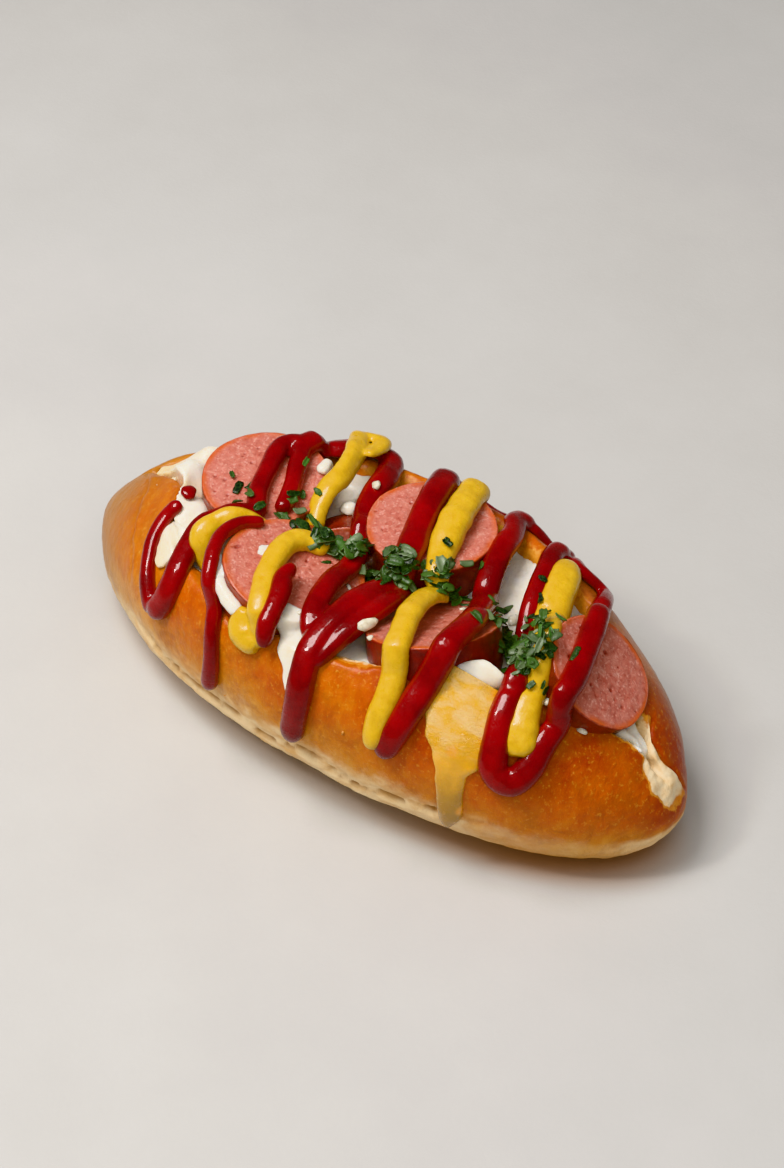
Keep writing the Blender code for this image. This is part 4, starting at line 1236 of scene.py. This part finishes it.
def sausage_look():
    look = Look("sausage", Subsurface_Weight=0.25, Subsurface_Scale=1.4 * MM,
                Subsurface_Radius=(1.0, 0.35, 0.25), Coat_Weight=0.25, Coat_Roughness=0.2)
    grain = look.cloud(1.8, 6, 0.72, 0.6)
    colour = look.ramp(grain, (
        (0.28, (0.34, 0.065, 0.045)), (0.44, (0.50, 0.15, 0.11)),
        (0.58, (0.57, 0.205, 0.155)), (0.74, (0.74, 0.40, 0.32)),
    ))
    # Pale streaks and specks, painted shade in the pits, and the browner rim of the cut face
    colour = look.paint(colour, (0.80, 0.46, 0.39), look.cloud(3.4, 6, 0.7, 2.5), 0.56, 0.64, 0, 0.45)
    colour = look.paint(colour, (0.80, 0.44, 0.36), look.cells(1.3), 0.12, 0.3, 0.45, 0)
    # painted shade: dark red in the pits, darker where they are deeper
    colour = look.paint(colour, (0.27, 0.03, 0.02), look.value_of("dent"), 0.2, 1, 0, 0.75)
    rim = look.times(look.value_of("rim"), look.drift(0.3, 1, 5, 3))
    colour = look.blend(rim, colour, (0.56, 0.115, 0.030))
    # The skin, darkened by painted shade and made glossier where a slice lies deep
    skin = look.value_of("skin")
    wet = look.value_of("wet")
    brown = look.mottle((0.24, 0.022, 0.008), (0.48, 0.095, 0.03), 5, 4, 0.6)
    # painted shade: near-black reds on the skin of slices that lie deep
    shaded_skin = look.mottle((0.10, 0.005, 0.003), (0.25, 0.014, 0.008), 4, 3)
    edge = look.plus(skin, look.between(look.cloud(1.6, 3), 0, 1, -0.2, 0.2))
    colour = look.paint(colour, look.blend(wet, brown, shaded_skin), edge, 0.3, 0.75)
    normal = look.bump(look.cloud(0.7, 3, 0.6), 0.07)
    normal = look.bump(grain, 0.20, normal)
    return look.finish(colour, normal, look.between(look.plus(skin, wet), 0, 2, 0.48, 0.16))


def cream_look():
    look = Look("cream", Subsurface_Weight=0.6, Subsurface_Scale=2.5 * MM,
                Subsurface_Radius=(1.0, 0.85, 0.6), Coat_Weight=0.4, Coat_Roughness=0.12)
    colour = look.ramp(look.cloud(9, 3), (
        (0.3, (0.82, 0.79, 0.72)), (0.62, (0.81, 0.75, 0.62)), (0.8, (0.80, 0.64, 0.38)),
    ))
    # Golden in the low places at the left tip
    golden = look.times(look.between(look.axis(2), 39 * MM, 49 * MM, 0.85, 0),
                        look.between(look.axis(0), -50 * MM, -42 * MM, 1, 0))
    colour = look.blend(golden, colour, (0.86, 0.66, 0.34))
    return look.finish(colour, look.bump(look.cloud(2.4, 3), 0.18), look.drift(0.22, 0.36, 4, 2))


def cheese_look():
    look = Look("cheese", Subsurface_Weight=0.2, Subsurface_Scale=2.0 * MM,
                Subsurface_Radius=(1.0, 0.6, 0.15), Coat_Weight=1.0, Coat_Roughness=0.12)
    height = look.plus(look.axis(2), look.drift(-3 * MM, 3 * MM, 6, 3))
    colour = look.ramp(look.between(height, 12 * MM, 50 * MM), (
        (0.0, (0.36, 0.18, 0.006)), (0.4, (0.54, 0.27, 0.010)),
        (0.8, (0.80, 0.41, 0.025)), (1.0, (0.85, 0.47, 0.050)),
    ))
    colour = look.paint(colour, (0.88, 0.36, 0.010), look.cells(8), 0.12, 0.30, 0.8, 0)
    # The crackled skin at the top, with a painted highlight in pale patches
    crackle = look.between(look.axis(2), 36 * MM, 43 * MM)
    # painted highlight: pale cream-white patches on the top
    painted_sheen = look.between(look.cloud(5, 4, 0.6, 0.5, scale=(0.7, 1, 1.3)), 0.38, 0.66, 0, 0.3)
    colour = look.blend(look.times(crackle, painted_sheen), colour, (0.92, 0.84, 0.62))
    crackle = look.times(crackle, look.cloud(0.9, 5, 0.7, 1.5, scale=(0.5, 1, 1.6)))
    normal = look.bump(crackle, 0.5, look.bump(look.cloud(1.6, 4, 0.6), 0.16))
    return look.finish(colour, normal, look.drift(0.14, 0.3, 3, 3))


def ketchup_look():
    look = Look("ketchup", Subsurface_Weight=0.15, Subsurface_Scale=1.2 * MM,
                Subsurface_Radius=(1.0, 0.08, 0.04), Coat_Weight=0.75, Coat_Roughness=0.07,
                Specular_IOR_Level=0.2)
    colour = look.mottle((0.15, 0.001, 0.002), (0.27, 0.003, 0.004), 11, 4, 0.6, low=0.35, high=0.65)
    colour = look.paint(colour, (0.50, 0.030, 0.020), look.value_of("thin"), 0, 1, 0, 0.4)
    normal = look.bump(look.cloud(0.5, 3, 0.7), 0.09)
    normal = look.bump(look.cloud(1.6, 3, 0.55), 0.14, normal)
    return look.finish(colour, normal, look.drift(0.24, 0.4, 1.2, 3))


def mustard_look():
    look = Look("mustard", Subsurface_Weight=0.25, Subsurface_Scale=1.2 * MM,
                Subsurface_Radius=(1.0, 0.6, 0.08), Coat_Weight=0.5, Coat_Roughness=0.12)
    colour = look.mottle((0.58, 0.34, 0.018), (0.71, 0.45, 0.038), 2.5, 4, 0.6)
    colour = look.paint(colour, (0.52, 0.24, 0.008), look.value_of("thin"), 0, 1, 0, 0.6)
    colour = look.paint(colour, (0.48, 0.23, 0.01), look.cells(1.1), 0.06, 0.14, 0.4, 0)
    normal = look.bump(look.cloud(0.5, 3, 0.6), 0.05)
    normal = look.bump(look.cloud(1.8, 3), 0.16, normal)
    return look.finish(colour, normal, look.drift(0.26, 0.42, 1.4, 3))


def leaf_look():
    look = Look("herbs", Subsurface_Weight=0.1, Subsurface_Scale=0.4 * MM,
                Subsurface_Radius=(0.5, 1.0, 0.3), Coat_Weight=0.12, Coat_Roughness=0.3)
    tint = look.value_of("tint")
    top = look.ramp(tint, (
        (0.0, (0.005, 0.013, 0.005)), (0.45, (0.017, 0.044, 0.012)),
        (0.85, (0.06, 0.12, 0.03)), (1.0, (0.07, 0.18, 0.04)),
    ))
    below = look.ramp(tint, ((0.0, (0.04, 0.075, 0.03)), (1.0, (0.17, 0.22, 0.12))))
    colour = look.blend(look.value_of("under"), top, below)
    veins = look.cells(1.3, "DISTANCE_TO_EDGE")
    colour = look.paint(colour, (0.12, 0.22, 0.06), veins, 0.02, 0.08, 0.3, 0)
    normal = look.bump(look.cloud(0.5, 3, 0.6), 0.08)
    normal = look.bump(veins, 0.1, normal)
    return look.finish(colour, normal, look.drift(0.38, 0.6, 1, 2))


def onion_look():
    look = Look("onion", Subsurface_Weight=0.6, Subsurface_Scale=2 * MM,
                Subsurface_Radius=(1.0, 0.9, 0.7), Coat_Weight=0.5, Coat_Roughness=0.12)
    colour = look.mottle((0.56, 0.50, 0.38), (0.76, 0.72, 0.60), 1.5, 3)
    return look.finish(colour, look.bump(look.cloud(0.6, 3), 0.08), look.drift(0.2, 0.35, 1, 2))


def crumb_look():
    look = Look("crumbs", Subsurface_Weight=0.1, Subsurface_Scale=0.5 * MM)
    colour = look.mottle((0.55, 0.20, 0.03), (0.80, 0.50, 0.20), 1.2, 3)
    return look.finish(colour, look.bump(look.cloud(0.4, 3), 0.08), look.drift(0.5, 0.8, 1, 2))


def floor_look():
    """A pale floor with a painted brown shadow round the roll, strongest by its right half."""
    look = Look("floor")
    colour = look.mottle((0.485, 0.475, 0.460), (0.515, 0.505, 0.490), 60, 4, 0.6)
    # painted shadow: brown near the roll's outline, most of it toward the right end
    along_x = look.maths("DIVIDE", look.maths("SUBTRACT", look.axis(0), 4 * MM), 92 * MM)
    along_y = look.maths("DIVIDE", look.plus(look.axis(1), 3 * MM), 36 * MM)
    far = look.plus(look.times(along_x, along_x), look.times(along_y, along_y))
    brown = look.between(look.axis(0), 10 * MM, 70 * MM, 0.3, 0.85)
    brown = look.times(brown, look.between(far, 0.75, 1.15, 1, 0))
    colour = look.blend(brown, colour, (0.36, 0.20, 0.10))
    rough = look.between(look.cloud(8, 3), 0, 1, 0.7, 0.85)
    return look.finish(colour, look.bump(look.cloud(1.5, 4, 0.6), 0.06), rough)


def dress(obj, look, slot, *nodes):
    """Gives a piece its material and its place on the body, and hides the model's parts that it stands for;
    the slot is not used.
    """
    obj.data.materials.append(look)
    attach(obj, "root")
    if nodes:
        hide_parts(*nodes)
    return obj


# Camera, lights and floor: angles in degrees, with azimuth 0 toward -Y and 90 toward +X

VIEW_AZIMUTH = 37
VIEW_ELEVATION = 45
VIEW_DISTANCE = 735 * MM
LENS = 85
SENSOR_WIDTH = 36
VIEW_TARGET = Vector((-3, 10, 32)) * MM
# The floor and backdrop: how far from the middle and how high, in metres
STAGE_PROFILE = ((0.3, 0.0), (0.9, 0.0), (1.3, 0.02), (1.6, 0.12), (1.8, 0.35), (1.9, 0.8), (1.92, 1.6))
STAGE_SIDES = 64
STAGE_DROP = 0.05 * MM


def aim(obj, azimuth, elevation, distance):
    """Puts a camera or a light out from the target and turns it to look back."""
    a, e = math.radians(azimuth), math.radians(elevation)
    out = Vector((math.sin(a) * math.cos(e), -math.cos(a) * math.cos(e), math.sin(e)))
    obj.location = VIEW_TARGET + out * distance
    obj.rotation_euler = out.to_track_quat("Z", "Y").to_euler()


def add_camera():
    data = bpy.data.cameras.new("camera")
    data.lens = LENS
    data.sensor_width = SENSOR_WIDTH
    camera = linked("camera", data)
    aim(camera, VIEW_AZIMUTH, VIEW_ELEVATION, VIEW_DISTANCE)
    bpy.context.scene.camera = camera


def add_light(name, azimuth, elevation, distance, size, power, colour, shines=True):
    data = bpy.data.lights.new(name, "AREA")
    data.shape = "RECTANGLE"
    data.size, data.size_y = size
    data.energy = power
    data.color = colour
    light = linked(name, data)
    aim(light, azimuth, elevation, distance)
    light.visible_glossy = shines


def add_stage():
    """A pale floor that rises into a round backdrop."""
    points = []
    for far, high in STAGE_PROFILE:
        for k in range(STAGE_SIDES):
            turn = math.tau * k / STAGE_SIDES
            points.append((math.cos(turn) * far, math.sin(turn) * far, high - STAGE_DROP))
    faces = []
    for row in range(len(STAGE_PROFILE) - 1):
        base = row * STAGE_SIDES
        for k in range(STAGE_SIDES):
            j = (k + 1) % STAGE_SIDES
            faces.append((base + k, base + STAGE_SIDES + k, base + STAGE_SIDES + j, base + j))
    faces += [(k, (k + 1) % STAGE_SIDES, len(points)) for k in range(STAGE_SIDES)]
    mesh = bpy.data.meshes.new("floor")
    mesh.from_pydata(points + [(0, 0, -STAGE_DROP)], [], faces)
    mesh.materials.append(floor_look())
    linked("floor", mesh)


def light_scene():
    world = bpy.data.worlds.new("world")
    world.use_nodes = True
    sky = world.node_tree.nodes["Background"].inputs
    sky["Color"].default_value = (1.0, 0.99, 0.98, 1)
    sky["Strength"].default_value = 0.45
    world.cycles_visibility.glossy = False
    bpy.context.scene.world = world
    add_light("key", 304, 68, 0.9, (0.4, 0.4), 6.6, (1.0, 0.97, 0.94))
    add_light("spark", 320, 52, 0.9, (0.09, 0.12), 1.9, (1.0, 0.97, 0.94))
    add_light("fill", 34, 50, 1.0, (0.9, 0.9), 4.2, (1.0, 0.98, 0.96), shines=False)
    bpy.context.scene.view_settings.view_transform = "Khronos PBR Neutral"


def main():
    rng = random.Random(SEED)
    add_camera()
    add_stage()
    light_scene()
    looks = {
        "crust": crust_look(), "sausage": sausage_look(), "cream": cream_look(), "cheese": cheese_look(),
        "ketchup": ketchup_look(), "mustard": mustard_look(), "herbs": leaf_look(),
    }

    roll = dress(make_roll(), looks["crust"], "crust", "roll")
    slices = []
    for i, row in enumerate(SLICES):
        piece = make_slice(i, row, rng)
        slices.append(dress(piece, looks["sausage"], "sausage", f"sausage_slice_{i + 1}"))
    surface = Surface([roll] + slices)
    filling = dress(make_filling(surface), looks["cream"], "cream", "filling")
    surface.add(filling)

    for i, (name, row) in enumerate(POOLS.items()):
        piece = remeshed(add_object(name + "_sauce", *pool(surface, row, i)), POOL_VOXEL, 5)
        surface.add(dress(piece, looks[row["slot"]], row["slot"], name))
    dabs = [dab(surface, x, lean, size / 2, high, i) for i, (x, lean, size, high) in enumerate(CREAM_DABS)]
    piece = remeshed(add_object("cream_dabs", *joined(dabs)), DAB_VOXEL, 3)
    surface.add(dress(piece, looks["cream"], "cream"))

    for i, (name, rows) in enumerate(SAUCES.items()):
        slot = name.split("_")[0]
        lump = KETCHUP_LUMP if slot == "ketchup" else MUSTARD_LUMP
        piece = make_sauce(name + "_sauce", surface, rows, i * 7.3, lump)
        surface.add(dress(piece, looks[slot], slot, name))

    bits = []
    for x, lean, size in ONION:
        bits.append(lump_shape(surface.spot(x, lean, size * 0.1)[0], size, rng, 0.55))
    dress(add_object("onion_bits", *joined(bits)), onion_look(), "cream")

    for name, row in HEAPS.items():
        dress(leaf_piece(name + "_leaves", heap_leaves(surface, row, rng)), looks["herbs"], "herbs", name)
    singles = []
    for x, lean in SINGLE_LEAVES:
        place, normal = surface.spot(x, lean, 0.35)
        singles.append((place, tilted(normal, rng, 14), rng.uniform(*SINGLE_LENGTH)))
    dress(leaf_piece("scattered_leaves", singles), looks["herbs"], "herbs")

    crust = Surface([roll])
    crumbs = []
    for i in range(CRUMBS):
        x = rng.uniform(-70, 92)
        u = x * MM / (ROLL_LENGTH / 2)
        y, z = flank(u, lip_share(u, -1), -1)
        lean = lean_at(y, z) - rng.uniform(4, 30)
        place, normal = crust.spot(x, lean, 0.1)
        size = rng.uniform(0.4, 1.0)
        if i % 2:
            crumbs.append(flake_shape(place, normal, size * 1.6, rng))
        else:
            crumbs.append(lump_shape(place, size, rng, 0.75))
    dress(add_object("crust_crumbs", *joined(crumbs)), crumb_look(), "crust")


main()
